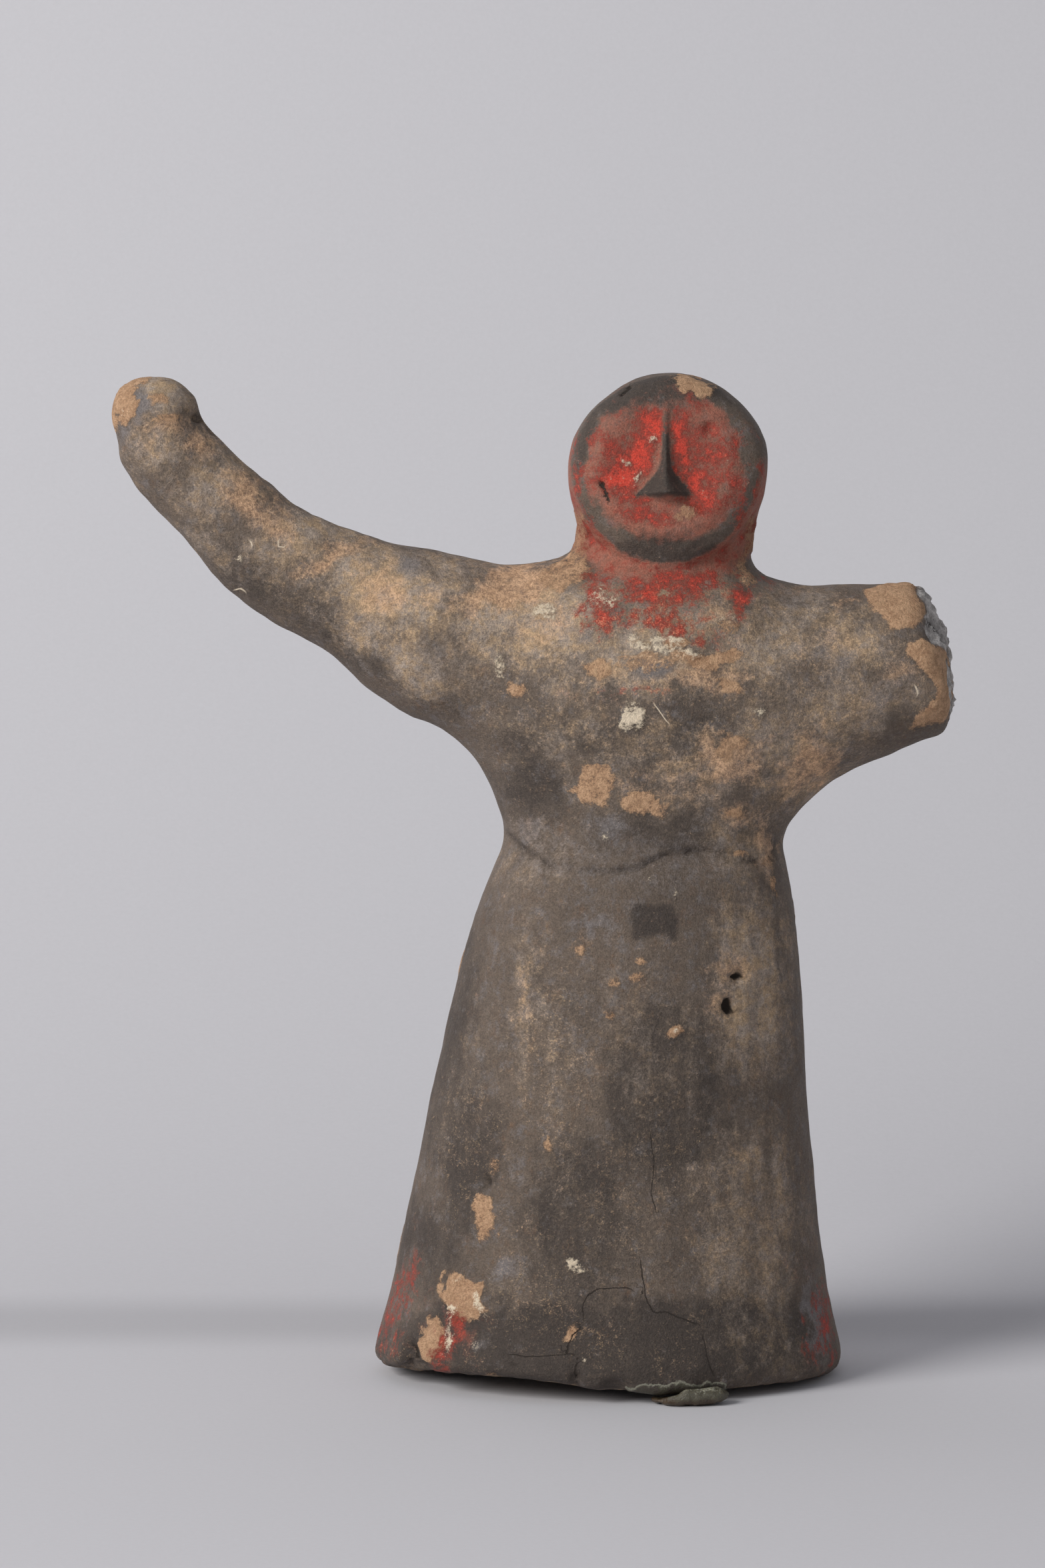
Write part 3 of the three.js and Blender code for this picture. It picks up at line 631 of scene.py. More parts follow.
def clay_copy(node, voxel):
    """A smooth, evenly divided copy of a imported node's mesh as a new object."""
    piece = bpy.data.objects.new(node.name + "_surface", node.data.copy())
    bpy.context.scene.collection.objects.link(piece)
    same_place = 0.002 * MM
    work = bmesh.new()
    work.from_mesh(piece.data)
    bmesh.ops.remove_doubles(work, verts=work.verts, dist=same_place)
    work.to_mesh(piece.data)
    work.free()
    rounding = piece.modifiers.new("rounding", "SUBSURF")
    rounding.levels = 2
    remesh = piece.modifiers.new("remesh", "REMESH")
    remesh.mode = "VOXEL"
    remesh.voxel_size = voxel
    smooth = piece.modifiers.new("smooth", "SMOOTH")
    smooth.factor = 0.5
    smooth.iterations = 3
    seen = piece.evaluated_get(bpy.context.evaluated_depsgraph_get())
    piece.data = bpy.data.meshes.new_from_object(seen)
    piece.modifiers.clear()
    return piece


def read_vertices(mesh, what):
    """The place ("co") or the normal of every vertex, in rows of three."""
    values = np.empty(len(mesh.vertices) * 3, np.float32)
    mesh.vertices.foreach_get(what, values)
    return values.reshape(-1, 3).astype(float)


def write_points(mesh, points):
    mesh.vertices.foreach_set("co", points.astype(np.float32).ravel())
    mesh.update()


def write_field(mesh, name, values):
    """Keeps one number for each vertex, for the material to read."""
    layer = mesh.attributes.new(name, "FLOAT", "POINT")
    layer.data.foreach_set("value", values.astype(np.float32))


def refine(mesh, place, radius):
    """Halves the edges of every face whose centre is within a radius of a place."""
    work = bmesh.new()
    work.from_mesh(mesh)
    centres = np.array([face.calc_center_median() for face in work.faces])
    picked = np.linalg.norm(centres - place, axis=1) < radius
    edges = {edge for face, take in zip(work.faces, picked) if take for edge in face.edges}
    bmesh.ops.subdivide_edges(work, edges=list(edges), cuts=1, use_grid_fill=True)
    bmesh.ops.triangulate(work, faces=[face for face in work.faces if len(face.verts) > 4])
    work.to_mesh(mesh)
    work.free()


def facing_camera(points, normals):
    """The cosine between each normal and the way to the camera."""
    way = CAMERA_PLACE - points
    return (normals * way).sum(axis=1) / np.linalg.norm(way, axis=1)


def seen_by_camera(mesh, points, normals):
    """1 where the photograph shows a vertex, falling to 0 where it turns away or something hides it."""
    tree = BVHTree.FromPolygons(
        [Vector(p) for p in points], [face.vertices[:] for face in mesh.polygons], all_triangles=False
    )
    way = CAMERA_PLACE - points
    way /= np.linalg.norm(way, axis=1)[:, None]
    turned = ease(-0.02, 0.1, facing_camera(points, normals))
    lift = 0.35 * MM
    reach = 80 * MM
    for i in np.nonzero(turned > 0)[0]:
        start = Vector(points[i] + normals[i] * lift)
        if tree.ray_cast(start, Vector(way[i]), reach)[0] is not None:
            turned[i] = 0
    return turned


def face_places(points):
    """Each point in the face's own axes: across, up and out of its disc."""
    off = points - FACE_CENTRE
    return off[:, 0], off @ FACE_UP, off @ FACE_OUT


def face_shape(across, up):
    """How far the modelled face stands out: a pinched nose, its square-cut foot, and slight cheeks."""
    u = across / MM
    w = up / MM
    foot, top = NOSE_HEIGHTS[0], NOSE_HEIGHTS[-1]
    down = np.clip((top - w) / (top - foot), 0, 1)
    spread = np.clip(np.abs(u) / (np.interp(w, NOSE_HEIGHTS, NOSE_HALF_WIDTHS) + 0.3), 0, 1)
    ridge = ease(1, 0, spread) ** 1.2
    height = (0.3 + 1.5 * down**3) * ease(top + 0.4, top - 1.4, w)
    lip = foot + 0.3 - 0.95 * (1 - np.clip(np.abs(u) / 2.5, 0, 1) ** 2)
    under = ease(lip - 0.05, lip + 0.4 + 0.5 * ridge, w)
    cheeks = 0.4 * np.exp(-((np.abs(u) - 2.9) ** 2) / 4.5 - (w - 0.6) ** 2 / 10)
    groove = 0.2 * np.exp(-((w - lip + 0.22) ** 2) / 0.07) * ease(2.8, 1.8, np.abs(u))
    return (ridge * height * under - cheeks - groove) * MM


def shape_face(points):
    """Sets the clay of the face disc to its modelled form, fading out before the rolled edge."""
    across, up, out = face_places(points)
    fall_at_edge = 0.35 * MM
    faded, full = 6.6 * MM, 5.2 * MM
    thickness = 2.5 * MM
    target = face_shape(across, up) - fall_at_edge * (across**2 + up**2) / FACE_RADIUS**2
    on_disc = ease(faded, full, np.hypot(across, up)) * (np.abs(out) < thickness)
    return points + (on_disc * (target - out))[:, None] * FACE_OUT


def streaks(points, size, seed):
    """Smooth noise drawn out along the raised arm, and downwards elsewhere."""
    along_arm = (points - ARM_ROOT) @ ARM_WAY
    on_arm = ease(-4 * MM, 6 * MM, along_arm)
    squeezed_arm = points - 0.78 * along_arm[:, None] * ARM_WAY
    squeezed_down = points * (1, 1, 0.22)
    return on_arm * lumps(squeezed_arm, size, seed, 3) + (1 - on_arm) * lumps(squeezed_down, size, seed, 3)


def paint_face(fields, points, view):
    """Leaves nose, brow, rim and chin dark and bare, with painted shade deepening towards the chin's lower
    edge, and stains the rest of the disc and the head.
    """
    across, up, out = face_places(points)
    u, w, radius = across / MM, up / MM, np.hypot(across, up) / MM
    frill = 0.3 * view.waver[:, 0] + 0.3 * lumps(points, 2.4 * MM, 110, 3)
    front = view.seen * ease(-3.2 * MM, -2.2 * MM, out)
    beside = np.abs(u) - np.interp(w, NOSE_HEIGHTS, NOSE_HALF_WIDTHS)
    nose = ease(0.2, -0.15, beside + 0.2 * frill)
    nose *= np.interp(w, (-2.8, -2.4, -0.5, 2.0, 4.0, 5.5), (0, 1, 1, 0.7, 0.5, 0))
    rim = np.exp(-(((radius - 7.35 + 0.7 * frill) / 0.6) ** 2)) * ease(5.5, 3.0, np.abs(w + 0.5 * u))
    rim *= 1 - 0.6 * ease(1.5, 6.0, u)
    chin = ease(4.6, 6.4, -w + 1.2 * frill - 0.06 * u**2) * ease(8.3, 8.0, radius)
    # Painted shade: the chin's burnished band grows darker towards its lower edge, where the disc turns
    # under.
    chin *= ease(3.5, 7.5, -w)
    brow = ease(4.0, 6.0, w + 1.2 * frill - 0.12 * u) * ease(8.6, 7.9, radius)
    bare = front * np.maximum.reduce([nose, 0.6 * rim, 0.66 * chin, 0.75 * brow])
    disc = front * ease(7.4, 6.2, radius + frill)
    below = ease(0.0, 0.3, view.seen) * ease(7.6, 8.1, radius) * ease(11.5, 9.5, radius)
    below *= ease(5.0, -1.0, w + 0.2 * u)
    fields["ruddy"] = np.maximum.reduce([fields["ruddy"], 0.8 * disc, 0.85 * below]) * (1 - 0.8 * bare)
    fields["red"] = np.maximum(fields["red"], 0.3 * below) * (1 - 0.9 * bare)
    fields["dark"] = np.maximum(fields["dark"], bare)
    fields["lip"] = ease(3.0, -2.0, w) * np.exp(-(((radius - 8.75) / 0.35) ** 2))


def clay_fields(mesh, points, normals):
    """Every finish of the clay as one number for each vertex."""
    waver = np.column_stack([
        0.6 * lumps(points, 1.8 * MM, seed) + 0.7 * lumps(points, 0.7 * MM, seed + 5, 2)
        for seed in (70, 80)
    ])
    view = View(photo_pixels(points), seen_by_camera(mesh, points, normals), waver)
    unseen = 1 - view.seen
    fields = {
        "soil": painted(view, SOIL, 16, SOIL_OUTLINES.values()),
        "ochre": painted(view, OCHRE, 50),
        "fleck": painted(view, FLECKS, 60),
        "film": painted(view, FILM, 90),
        "red": painted(view, RED, 46),
        "white": painted(view, WHITE, 16),
        "grey": painted(view, GREY, 40),
        "dark": np.maximum(painted(view, DARK, 60), 0.75 * painted(view, {}, 6, DARK_OUTLINES.values())),
        "hole": painted(view._replace(waver=0.9 * waver), HOLES, 7),
    }
    from_neck = np.abs(points[:, 0] - NECK_MIDDLE)
    neck_ring = np.exp(-(((points[:, 2] - 67.5 * MM) / (4 * MM)) ** 2)) * ease(12 * MM, 7 * MM, from_neck)
    on_unseen_sides = {
        "soil": np.clip(0.193 + 0.45 * lumps(points, 5 * MM, 40, 2), 0, 0.9),
        "film": np.clip(0.35 + 0.4 * lumps(points, 9 * MM, 50, 2), 0, 0.8),
        "dark": np.clip(0.3 + 0.5 * lumps(points, 8 * MM, 60, 2), 0, 0.8),
        "red": 0.5 * neck_ring,
    }
    for name, share in on_unseen_sides.items():
        fields[name] = np.maximum(fields[name], unseen * share)
    slant = points[:, 0] + 0.28 * (points[:, 2] - 64 * MM)
    broken = ease(33.0 * MM, 33.8 * MM, slant) * ease(0.3, 0.6, normals[:, 0])
    broken *= unseen * (points[:, 2] > 0.6 * TOP_OF_HEAD)
    fields["core"] = np.maximum(broken, painted(view, {}, 10, BREAK_OUTLINES.values()))
    fields["crack_side"], fields["crack_open"], fields["crack_depth"] = crack_fields(view, CRACKS)
    fold_side, fold_open, fold_depth = crack_fields(view, FOLDS)
    fields["fold"] = fold_depth - 0.3 * fold_open * (fold_side < 0) * np.exp(-((fold_side / 3.0) ** 2))
    # Painted shade darkens the clay along the waist's crease.
    fields["dark"] = np.maximum(fields["dark"], 0.55 * fold_open * np.exp(-(fold_side**2)))
    fields["smear"] = painted(view, {}, 10, WAX_OUTLINES.values())
    fields["fibre_side"], fields["fibre_shown"], _ = crack_fields(view, FIBRES)
    on_hand = ease(-0.7, -0.3, facing_camera(points, normals)) * (points[:, 0] < HAND_SIDE)
    edge_too = np.maximum(view.seen, on_hand)
    fields["dent"] = painted(view._replace(waver=0.3 * waver, seen=edge_too), DENTS, 10)
    fields["ruddy"] = 0.9 * painted(view, RED, 150)
    on_arm = ease(-18 * MM, -24 * MM, points[:, 0])
    streaky = on_arm + ease(52 * MM, 40 * MM, points[:, 2])
    drawn = streaky * streaks(points, 1.1 * MM, 90) + (1 - streaky) * lumps(points, 2.2 * MM, 98, 4)
    drawn *= 1 - 0.5 * on_arm
    fields["film"] += 0.2 * drawn * ease(0, 0.3, fields["film"])
    fields["dark"] -= 0.14 * drawn
    paint_face(fields, points, view)
    return fields


def clay_relief(points, fields):
    """How far each vertex moves out along its normal."""
    hand_made = 0.12 * lumps(points, 6 * MM, 1, 2) + 0.03 * lumps(points, 1.2 * MM, 5, 2)
    near_hem = ease(4.5 * MM, 1.0 * MM, points[:, 2])
    hand_made += near_hem * (0.16 * lumps(points, 2.6 * MM, 25, 2) + 0.05 * lumps(points, 0.9 * MM, 27))
    soil_edge = ease(0.42, 0.62, fields["soil"] + 0.12 * lumps(points, 1.1 * MM, 9, 2))
    crust = soil_edge * (0.09 + 0.05 * lumps(points, 0.8 * MM, 12, 2))
    white = ease(0.45, 0.65, fields["white"]) * (0.14 + 0.1 * lumps(points, 0.8 * MM, 15, 2))
    flakes = np.abs(lumps(points * (1, 1, 1.6), 2.4 * MM, 21, 3))
    torn = fields["core"] * (0.4 - 0.95 * flakes + 0.25 * lumps(points, 0.7 * MM, 24))
    from_neck = np.abs(points[:, 0] - NECK_MIDDLE)
    round_neck = ease(9 * MM, 4 * MM, np.abs(points[:, 2] - 67 * MM)) * ease(13 * MM, 9 * MM, from_neck)
    sandy = (soil_edge * (0.03 + 0.09 * round_neck) + 0.05 * round_neck) * lumps(points, 0.55 * MM, 18, 2)
    crust += 0.12 * ease(0.4, 0.6, fields["smear"])
    cut = fields["crack_depth"] + fields["fold"] + fields["dent"] + 0.8 * fields["hole"] + 0.3 * fields["lip"]
    return (hand_made + crust + sandy + white + torn - cut) * MM


def linear(red, green, blue):
    """A colour given in 0 to 255 steps as the shader's linear values."""
    steps = [value / 255 for value in (red, green, blue)]
    return tuple(s / 12.92 if s <= 0.04045 else ((s + 0.055) / 1.055) ** 2.4 for s in steps)


class Paint:
    """Builds one material's nodes, each with a short call."""

    def __init__(self, name):
        self.material = bpy.data.materials.new(name)
        self.material.use_nodes = True
        self.tree = self.material.node_tree
        self.shader = self.tree.nodes["Principled BSDF"]
        self.output = self.tree.nodes["Material Output"]
        place = self.add("ShaderNodeTexCoord").outputs["Object"]
        self.millimetres = self.vector("SCALE", place, scale=1 / MM)

    def add(self, kind, **settings):
        node = self.tree.nodes.new(kind)
        for name, value in settings.items():
            setattr(node, name, value)
        return node

    def plug(self, socket, value):
        if isinstance(value, bpy.types.NodeSocket):
            self.tree.links.new(value, socket)
        else:
            socket.default_value = (*value, 1) if socket.type == "RGBA" else value

    def vector(self, operation, a, b=None, scale=None):
        node = self.add("ShaderNodeVectorMath", operation=operation)
        self.plug(node.inputs[0], a)
        if b is not None:
            self.plug(node.inputs[1], b)
        if scale is not None:
            self.plug(node.inputs["Scale"], scale)
        return node.outputs[0]

    def math(self, operation, a, b=0.0, clamp=False):
        node = self.add("ShaderNodeMath", operation=operation, use_clamp=clamp)
        self.plug(node.inputs[0], a)
        self.plug(node.inputs[1], b)
        return node.outputs[0]

    def field(self, name):
        return self.add("ShaderNodeAttribute", attribute_name=name).outputs["Fac"]

    def noise(self, size, detail, roughness, stretch=(1, 1, 1)):
        """Noise of about -1 to 1 with features of a size in millimetres; a small stretch draws them out."""
        node = self.add("ShaderNodeTexNoise")
        where = self.vector("MULTIPLY", self.millimetres, stretch)
        self.plug(node.inputs["Vector"], where)
        node.inputs["Scale"].default_value = 1 / size
        node.inputs["Detail"].default_value = detail
        node.inputs["Roughness"].default_value = roughness
        return self.math("SUBTRACT", self.math("MULTIPLY", node.outputs[0], 4.0), 2.0)

    def sum(self, *terms):
        """The sum of values; a pair is a value times a weight."""
        total = None
        for term in terms:
            value = self.math("MULTIPLY", *term) if isinstance(term, tuple) else term
            total = value if total is None else self.math("ADD", total, value)
        return total

    def band(self, value, low, high, to_low=0.0, to_high=1.0):
        node = self.add("ShaderNodeMapRange", interpolation_type="SMOOTHSTEP")
        self.plug(node.inputs["Value"], value)
        node.inputs["From Min"].default_value = low
        node.inputs["From Max"].default_value = high
        node.inputs["To Min"].default_value = to_low
        node.inputs["To Max"].default_value = to_high
        return node.outputs[0]

    def mix(self, share, under, over, blend="MIX"):
        node = self.add("ShaderNodeMix", data_type="RGBA", blend_type=blend)
        self.plug(node.inputs[0], share)
        self.plug(node.inputs[6], under)
        self.plug(node.inputs[7], over)
        return node.outputs[2]

    def bump(self, height, strength, distance):
        node = self.add("ShaderNodeBump")
        self.plug(node.inputs["Height"], height)
        node.inputs["Strength"].default_value = strength
        node.inputs["Distance"].default_value = distance
        self.plug(self.shader.inputs["Normal"], node.outputs[0])


def clay_material(colours):
    """Burnished clay under beige film, soil, pigment and crusts, each broken up by grain."""
    paint = Paint("burnished_clay_finish")
    blotch = paint.noise(5.0, 3, 0.6)
    patch = paint.noise(2.2, 7, 0.72)
    mottle = paint.noise(1.0, 6, 0.8)
    speck = paint.noise(0.32, 4, 0.85)
    grain = paint.noise(0.13, 2, 0.7)
    tint = paint.noise(1.6, 6, 0.75)
    upright = paint.noise(0.4, 4, 0.8, (1, 1, 0.35))

    # The dark field mixes in burnished clay, and also carries painted shade along the waist crease, the arm's
    # underside and the chin's lower edge.
    depth = paint.sum((paint.field("dark"), 0.9), (blotch, 0.2), (mottle, 0.22), (upright, 0.16))
    base = paint.mix(paint.band(depth, -0.3, 0.75), colours.clay, colours.burnish)
    warm = paint.sum((paint.noise(1.8, 6, 0.8), 0.7), (upright, 0.5), (paint.field("dark"), -0.3))
    base = paint.mix(paint.band(warm, 0.0, 1.0, 0.0, 0.75), base, colours.rust)
    cool = paint.sum(paint.noise(1.3, 6, 0.8), (paint.field("dark"), -0.4))
    base = paint.mix(paint.band(cool, -0.1, 0.8, 0.0, 0.75), base, colours.grey)

    film = paint.sum(paint.field("film"), (patch, 0.16), (mottle, 0.2), (upright, 0.12), (speck, 0.18))
    film_share = paint.band(film, 0.05, 1.1, 0.0, 0.95)
    veil = paint.mix(paint.band(tint, -0.4, 0.4), colours.film, colours.film_grey)
    colour = paint.mix(film_share, base, veil)
    ochre = paint.mix(paint.band(paint.sum(mottle, speck), -0.9, 0.9), colours.soil, colours.soil_light)
    stain = paint.sum(paint.field("ochre"), (mottle, 0.3), (speck, 0.2), (patch, 0.2))
    colour = paint.mix(paint.band(stain, 0.25, 1.1, 0.0, 0.85), colour, ochre)

    ruddy = paint.band(paint.sum(paint.field("ruddy"), (patch, 0.3), (mottle, 0.25)), 0.2, 0.95, 0.0, 0.85)
    colour = paint.mix(ruddy, colour, colours.ruddy)

    grey = paint.band(paint.sum(paint.field("grey"), (mottle, 0.16), (speck, 0.16)), 0.3, 0.75, 0.0, 0.85)
    colour = paint.mix(grey, colour, colours.grey)

    soil = paint.band(paint.sum(paint.field("soil"), (mottle, 0.22), (speck, 0.22)), 0.38, 0.66)
    colour = paint.mix(soil, colour, ochre)
    colour = paint.mix(paint.math("MULTIPLY", soil, ruddy), colour, paint.mix(0.45, ochre, colours.ruddy))

    pigment = paint.sum(paint.field("red"), (patch, 0.4), (mottle, 0.4), (speck, 0.15))
    rouge = paint.mix(paint.band(pigment, 0.5, 1.05), colours.red_worn, colours.red)
    inside = paint.band(paint.field("red"), 0.03, 0.2, 0.0, 0.92)
    colour = paint.mix(paint.math("MULTIPLY", paint.band(pigment, 0.25, 0.6), inside), colour, rouge)

    white = paint.band(paint.sum(paint.field("white"), (speck, 0.42), (mottle, 0.3)), 0.42, 0.78)
    colour = paint.mix(white, colour, colours.white)

    core = paint.band(paint.field("core"), 0.3, 0.7)
    torn = paint.mix(paint.band(mottle, -0.5, 0.5), colours.core_dark, colours.core)
    colour = paint.mix(core, colour, torn)

    pale = paint.mix(paint.band(patch, -0.4, 0.5), colours.dust, colours.soil_light)
    grit = paint.sum((speck, 0.5), (grain, 0.5))
    dusty = paint.sum(grit, (mottle, 0.45), (film_share, 0.2), (paint.field("fleck"), 0.4))
    colour = paint.mix(paint.band(dusty, 0.4, 1.2, 0.0, 0.55), colour, pale)
    sooty = paint.band(paint.sum(grit, (mottle, -0.6)), 0.45, 1.25, 0.0, 0.5)
    colour = paint.mix(sooty, colour, colours.soot_and_crevice_shade)
    cover = paint.math("MAXIMUM", paint.math("MAXIMUM", soil, white), core)
    swing = paint.sum((grain, 0.55), (speck, 0.5), (mottle, 0.3))
    calm = paint.math("SUBTRACT", 1.0, paint.math("MULTIPLY", cover, 0.45))
    jitter = paint.band(paint.math("MULTIPLY", swing, calm), -0.65, 0.65, 0.7, 1.3)
    colour = paint.vector("SCALE", colour, scale=jitter)

    wander = paint.sum(paint.field("crack_side"), (mottle, 2.2), (speck, 0.8))
    width = paint.math("ABSOLUTE", wander)
    crack = paint.math("MULTIPLY", paint.band(width, 1.6, 0.6), paint.field("crack_open"), clamp=True)
    fibre = paint.band(paint.math("ABSOLUTE", paint.field("fibre_side")), 1.4, 0.6, 0.0, 0.65)
    colour = paint.mix(paint.math("MULTIPLY", fibre, paint.field("fibre_shown")), colour, colours.white)
    # Painted shade: holes and cracks take the dark crevice colour inside.
    crack_and_hole_shade = paint.math("MAXIMUM", crack, paint.band(paint.field("hole"), 0.3, 0.7))
    colour = paint.mix(crack_and_hole_shade, colour, colours.soot_and_crevice_shade)

    waxed = paint.sum(paint.field("smear"), (mottle, 0.16), (speck, 0.16))
    pressed = paint.mix(paint.band(mottle, -0.5, 0.6), colours.wax, colours.burnish)
    pressed = paint.mix(paint.band(waxed, 0.85, 0.55), pressed, colours.wax_frost)
    waxed = paint.band(waxed, 0.42, 0.6)
    colour = paint.mix(waxed, colour, pressed)

    paint.plug(paint.shader.inputs["Base Color"], colour)
    shine = paint.sum((cover, 0.4), (film_share, 0.2), (mottle, 0.08), (waxed, -0.5))
    paint.plug(paint.shader.inputs["Roughness"], paint.band(shine, -0.45, 0.4, 0.35, 0.95))
    paint.shader.inputs["Specular IOR Level"].default_value = 0.4
    rough = paint.math("ADD", 0.35, paint.math("MULTIPLY", cover, 0.5))
    relief = paint.sum((paint.sum((mottle, 0.6), speck, (grain, 0.4)), rough), (crack, -1.2), (cover, 0.3))
    paint.bump(relief, 0.9, 0.14 * MM)
    return paint.material


def wax_material(colours):
    """Cloudy grey-green wax, amber where it is thick and low, whitish along its torn upper edge."""
    paint = Paint("mounting_wax_finish")
    cloud = paint.noise(1.2, 5, 0.7)
    speck = paint.noise(0.25, 4, 0.7)
    amber = paint.band(paint.sum(paint.field("low"), (cloud, 0.3)), 0.4, 0.8)
    colour = paint.mix(amber, colours.wax, colours.amber)
    dirt = paint.band(paint.sum(cloud, (speck, 0.6)), 0.0, 0.9, 0.0, 0.7)
    colour = paint.mix(dirt, colour, colours.burnish)
    frost = paint.band(paint.sum(paint.field("rim"), (speck, 0.3), (cloud, 0.2)), 0.85, 1.1)
    colour = paint.mix(frost, colour, colours.wax_frost)
    paint.plug(paint.shader.inputs["Base Color"], colour)
    paint.shader.inputs["Roughness"].default_value = 0.28
    paint.shader.inputs["Subsurface Weight"].default_value = 0.35
    paint.shader.inputs["Subsurface Radius"].default_value = (1.0, 0.8, 0.5)
    paint.shader.inputs["Subsurface Scale"].default_value = 0.6 * MM
    paint.bump(paint.sum((cloud, 0.4), (speck, 0.3)), 0.6, 0.2 * MM)
    return paint.material


def finish_piece(piece, material, node):
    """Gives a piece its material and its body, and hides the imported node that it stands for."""
    piece.data.materials.clear()
    piece.data.materials.append(material)
    piece.data.shade_smooth()
    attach(piece, "root")
    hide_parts(node)


class DancerSizes(bpy.types.PropertyGroup):
    voxel: FloatProperty(
        name="Surface step", description="Spacing of the clay surface's mesh", default=0.38 * MM,
        min=0.2 * MM, max=2 * MM, unit="LENGTH", precision=5,
    )
    wax_voxel: FloatProperty(
        name="Wax step", description="Spacing of the wax surface's mesh", default=0.16 * MM,
        min=0.1 * MM, max=1 * MM, unit="LENGTH", precision=5,
    )


def colour_property(name, description, *steps):
    """A colour setting whose default is given in 0 to 255 steps."""
    return FloatVectorProperty(
        name=name, description=description, default=linear(*steps), min=0, max=1, size=3, subtype="COLOR"
    )


class DancerColours(bpy.types.PropertyGroup):
    clay: colour_property("Clay", "Grey-brown clay between the burnished places", 113, 99, 87)
    burnish: colour_property("Burnish", "Darkest burnished clay", 71, 62, 56)
    rust: colour_property("Rust", "Warm brown stain in the clay", 118, 90, 68)
    film: colour_property("Film", "Yellowish film left by burial", 190, 162, 130)
    film_grey: colour_property("Grey film", "Paler, greyer places of the film", 178, 162, 148)
    dust: colour_property("Dust", "Pale grains on the clay", 186, 158, 118)
    ruddy: colour_property("Ruddy", "Brown clay stained by the pigment", 172, 106, 86)
    grey: colour_property("Grey", "Smooth blue-grey bare places", 122, 116, 115)
    soil: colour_property("Soil", "Tan soil", 190, 148, 114)
    soil_light: colour_property("Pale soil", "Paler grains of the soil", 218, 178, 142)
    red: colour_property("Red", "Bright red pigment", 218, 68, 50)
    red_worn: colour_property("Worn red", "Pigment rubbed into the clay", 140, 60, 48)
    white: colour_property("White", "White and cream crusts", 255, 236, 208)
    core: colour_property("Core", "Grey inside of the broken arm", 240, 234, 230)
    core_dark: colour_property("Dark core", "Shaded layers of the break", 176, 170, 166)
    # Painted shade inside holes and cracks; the same colour also darkens the clay's sooty grains.
    soot_and_crevice_shade: colour_property("Crevice", "Inside of holes and cracks", 50, 41, 34)
    wax: colour_property("Wax", "Grey-green mounting wax", 84, 80, 66)
    amber: colour_property("Amber wax", "Thicker wax near the ground", 70, 54, 36)
    wax_frost: colour_property("Frosted wax", "Whitish torn rim of the wax", 150, 148, 132)


class StageSettings(bpy.types.PropertyGroup):
    floor: colour_property("Floor", "Pale grey paper of the floor and backdrop", 205, 204, 208)
    key_power: FloatProperty(
        name="Key light", description="Power of the large soft light on the upper left", default=7.2,
        min=0, unit="POWER",
    )
    fill_power: FloatProperty(
        name="Fill light", description="Power of the soft light on the right", default=0.3,
        min=0, unit="POWER",
    )
    sky: FloatProperty(
        name="Room light", description="Strength of the even light of the room", default=0.32, min=0,
    )


class DANCER_OT_figurine(bpy.types.Operator):
    """Build the clay dancer with its face, soil, pigment, cracks and break"""

    bl_idname = "dancer.figurine"
    bl_label = "Clay figurine"

    def execute(self, context):
        sizes = context.scene.dancer_sizes
        piece = clay_copy(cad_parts["figurine"], sizes.voxel)
        mesh = piece.data
        refine(mesh, FACE_CENTRE, FINE_RADIUS)
        points = shape_face(read_vertices(mesh, "co"))
        write_points(mesh, points)
        normals = read_vertices(mesh, "normal")
        fields = clay_fields(mesh, points, normals)
        write_points(mesh, points + clay_relief(points, fields)[:, None] * normals)
        for name, values in fields.items():
            if name not in RELIEF_ONLY:
                write_field(mesh, name, values)
        piece.name = "clay_dancer"
        finish_piece(piece, clay_material(context.scene.dancer_colours), "figurine")
        return {"FINISHED"}


class DANCER_OT_wax(bpy.types.Operator):
    """Build the dab of wax that props the hem"""

    bl_idname = "dancer.wax"
    bl_label = "Wax prop"

    def execute(self, context):
        sizes = context.scene.dancer_sizes
        piece = clay_copy(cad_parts["wax_prop"], sizes.wax_voxel)
        points = read_vertices(piece.data, "co")
        low, high = points.min(axis=0), points.max(axis=0)
        height = (points[:, 2] - low[2]) / (high[2] - low[2])
        kneaded = (0.12 * lumps(points, 1.4 * MM, 31, 2) + 0.06 * lumps(points, 0.6 * MM, 33)) * MM
        points = np.clip(points + kneaded[:, None] * read_vertices(piece.data, "normal"), low, high)
        points[:, 0] = WAX_MIDDLE + WAX_SQUEEZE * (points[:, 0] - WAX_MIDDLE)
        write_points(piece.data, points)
        write_field(piece.data, "low", 1 - height)
        write_field(piece.data, "rim", height)
        piece.name = "wax_lump"
        finish_piece(piece, wax_material(context.scene.dancer_colours), "wax_prop")
        return {"FINISHED"}


def area_light(name, place, size, power, colour):
    lamp = bpy.data.lights.new(name, "AREA")
    lamp.shape = "DISK"
    lamp.size = size
    lamp.energy = power
    lamp.color = colour
    light = bpy.data.objects.new(name, lamp)
    bpy.context.scene.collection.objects.link(light)
    light.location = place
    light.rotation_euler = (Vector(LIGHT_AIM) - Vector(place)).to_track_quat("-Z", "Y").to_euler()


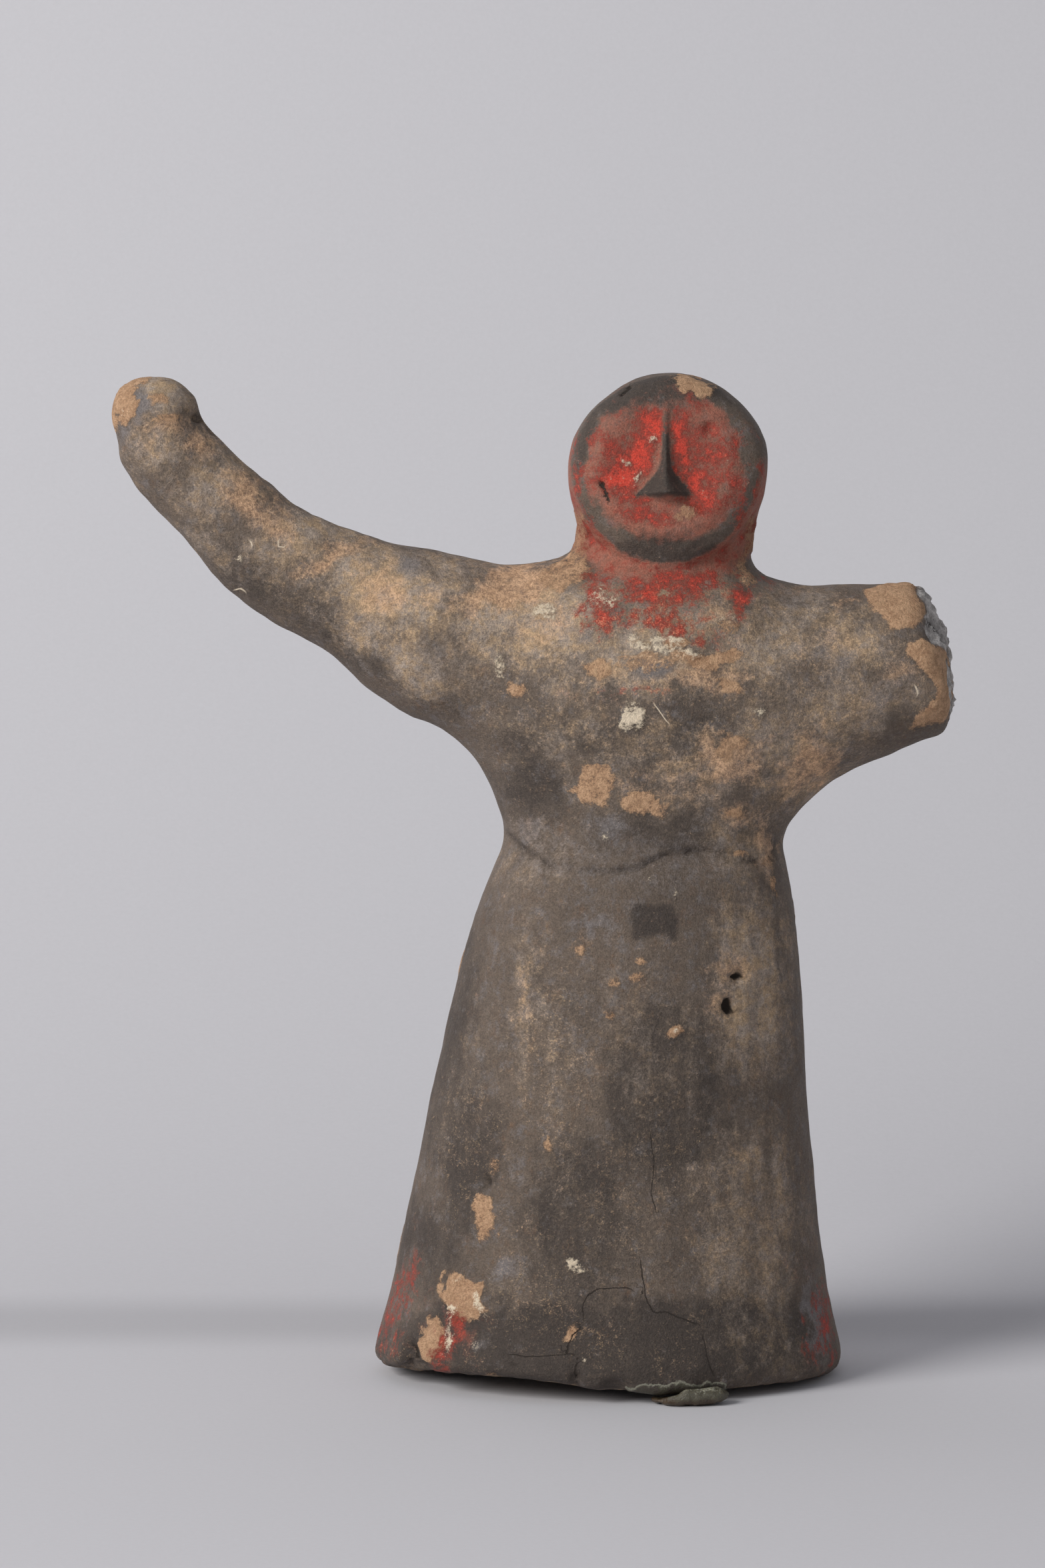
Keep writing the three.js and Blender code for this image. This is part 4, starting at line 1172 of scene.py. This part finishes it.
def paper_sweep(settings):
    """A sheet of paper that lies flat and curves up behind the figure, darkened by a band of painted shade;
    from behind, it is left clear.
    """
    half_width = 1.2
    front = -0.9
    curve_start = 0.03
    curve_radius = 0.22
    wall_top = 1.3
    steps = 24
    profile = [(front, 0.0), (curve_start, 0.0)]
    for step in range(1, steps + 1):
        turn = math.pi / 2 * step / steps
        profile.append((curve_start + curve_radius * math.sin(turn), curve_radius * (1 - math.cos(turn))))
    profile.append((curve_start + curve_radius, wall_top))
    vertices = [(x, y, z) for y, z in profile for x in (-half_width, half_width)]
    faces = [(2 * i, 2 * i + 1, 2 * i + 3, 2 * i + 2) for i in range(len(profile) - 1)]
    mesh = bpy.data.meshes.new("paper")
    mesh.from_pydata(vertices, [], faces)
    mesh.shade_smooth()
    paper = bpy.data.objects.new("paper", mesh)
    bpy.context.scene.collection.objects.link(paper)
    paint = Paint("paper_finish")
    fold = paint.add("ShaderNodeSeparateXYZ")
    paint.plug(fold.inputs[0], paint.millimetres)
    # Painted shade: the paper darkens in a soft band about the shade band's place.
    from_shade_band = paint.math("ABSOLUTE", paint.math("SUBTRACT", fold.outputs["Y"], SHADE_BAND_PLACE))
    shade = paint.sum(paint.band(from_shade_band, 2.0, 15.0, 0.83, 1.0), (paint.noise(0.5, 4, 0.7), 0.02))
    paint.plug(paint.shader.inputs["Base Color"], paint.mix(1.0, settings.floor, shade, "MULTIPLY"))
    paint.shader.inputs["Roughness"].default_value = 0.9
    paint.shader.inputs["Specular IOR Level"].default_value = 0.15
    one_sided = paint.add("ShaderNodeMixShader")
    paint.plug(one_sided.inputs[0], paint.add("ShaderNodeNewGeometry").outputs["Backfacing"])
    paint.plug(one_sided.inputs[1], paint.shader.outputs[0])
    paint.plug(one_sided.inputs[2], paint.add("ShaderNodeBsdfTransparent").outputs[0])
    paint.plug(paint.output.inputs["Surface"], one_sided.outputs[0])
    mesh.materials.append(paint.material)


class DANCER_OT_stage(bpy.types.Operator):
    """Lay the pale paper, hang the soft lights and place the camera as the photograph has it"""

    bl_idname = "dancer.stage"
    bl_label = "Stage, lights and camera"

    def execute(self, context):
        scene = context.scene
        settings = scene.dancer_stage
        paper_sweep(settings)
        area_light("key", KEY_PLACE, size=0.5, power=settings.key_power, colour=KEY_TINT)
        area_light("fill", FILL_PLACE, size=0.8, power=settings.fill_power, colour=FILL_TINT)
        world = bpy.data.worlds.new("room")
        world.use_nodes = True
        background = world.node_tree.nodes["Background"]
        background.inputs["Color"].default_value = ROOM_TINT
        background.inputs["Strength"].default_value = settings.sky
        scene.world = world
        scene.view_settings.view_transform = "Standard"
        camera = bpy.data.objects.new("camera", bpy.data.cameras.new("camera"))
        camera.data.lens = LENS
        camera.data.sensor_width = SENSOR
        camera.data.sensor_fit = "AUTO"
        camera.data.clip_end = 10
        camera.location = CAMERA_PLACE
        camera.rotation_euler = (math.pi / 2 - CAMERA_RISE, 0, 0)
        scene.collection.objects.link(camera)
        scene.camera = camera
        return {"FINISHED"}


class DANCER_PT_panel(bpy.types.Panel):
    """Lists the dancer's settings and the steps that build it"""

    bl_idname = "DANCER_PT_panel"
    bl_label = "Pottery Dancer"
    bl_space_type = "VIEW_3D"
    bl_region_type = "UI"
    bl_category = "Dancer"

    def draw(self, context):
        scene = context.scene
        for settings in (scene.dancer_sizes, scene.dancer_colours, scene.dancer_stage):
            box = self.layout.box()
            for name in settings.bl_rna.properties.keys():
                if name not in {"rna_type", "name"}:
                    box.prop(settings, name)
        for operator in OPERATORS:
            self.layout.operator(operator.bl_idname)


SETTINGS = {"dancer_sizes": DancerSizes, "dancer_colours": DancerColours, "dancer_stage": StageSettings}
OPERATORS = (DANCER_OT_figurine, DANCER_OT_wax, DANCER_OT_stage)


def register():
    for group in (*SETTINGS.values(), *OPERATORS, DANCER_PT_panel):
        bpy.utils.register_class(group)
    for name, group in SETTINGS.items():
        setattr(bpy.types.Scene, name, PointerProperty(type=group))


def unregister():
    for name in SETTINGS:
        delattr(bpy.types.Scene, name)
    for group in (DANCER_PT_panel, *reversed(OPERATORS), *reversed(SETTINGS.values())):
        bpy.utils.unregister_class(group)


def main():
    register()
    bpy.ops.dancer.figurine()
    bpy.ops.dancer.wax()
    bpy.ops.dancer.stage()


if __name__ == "__main__":
    main()
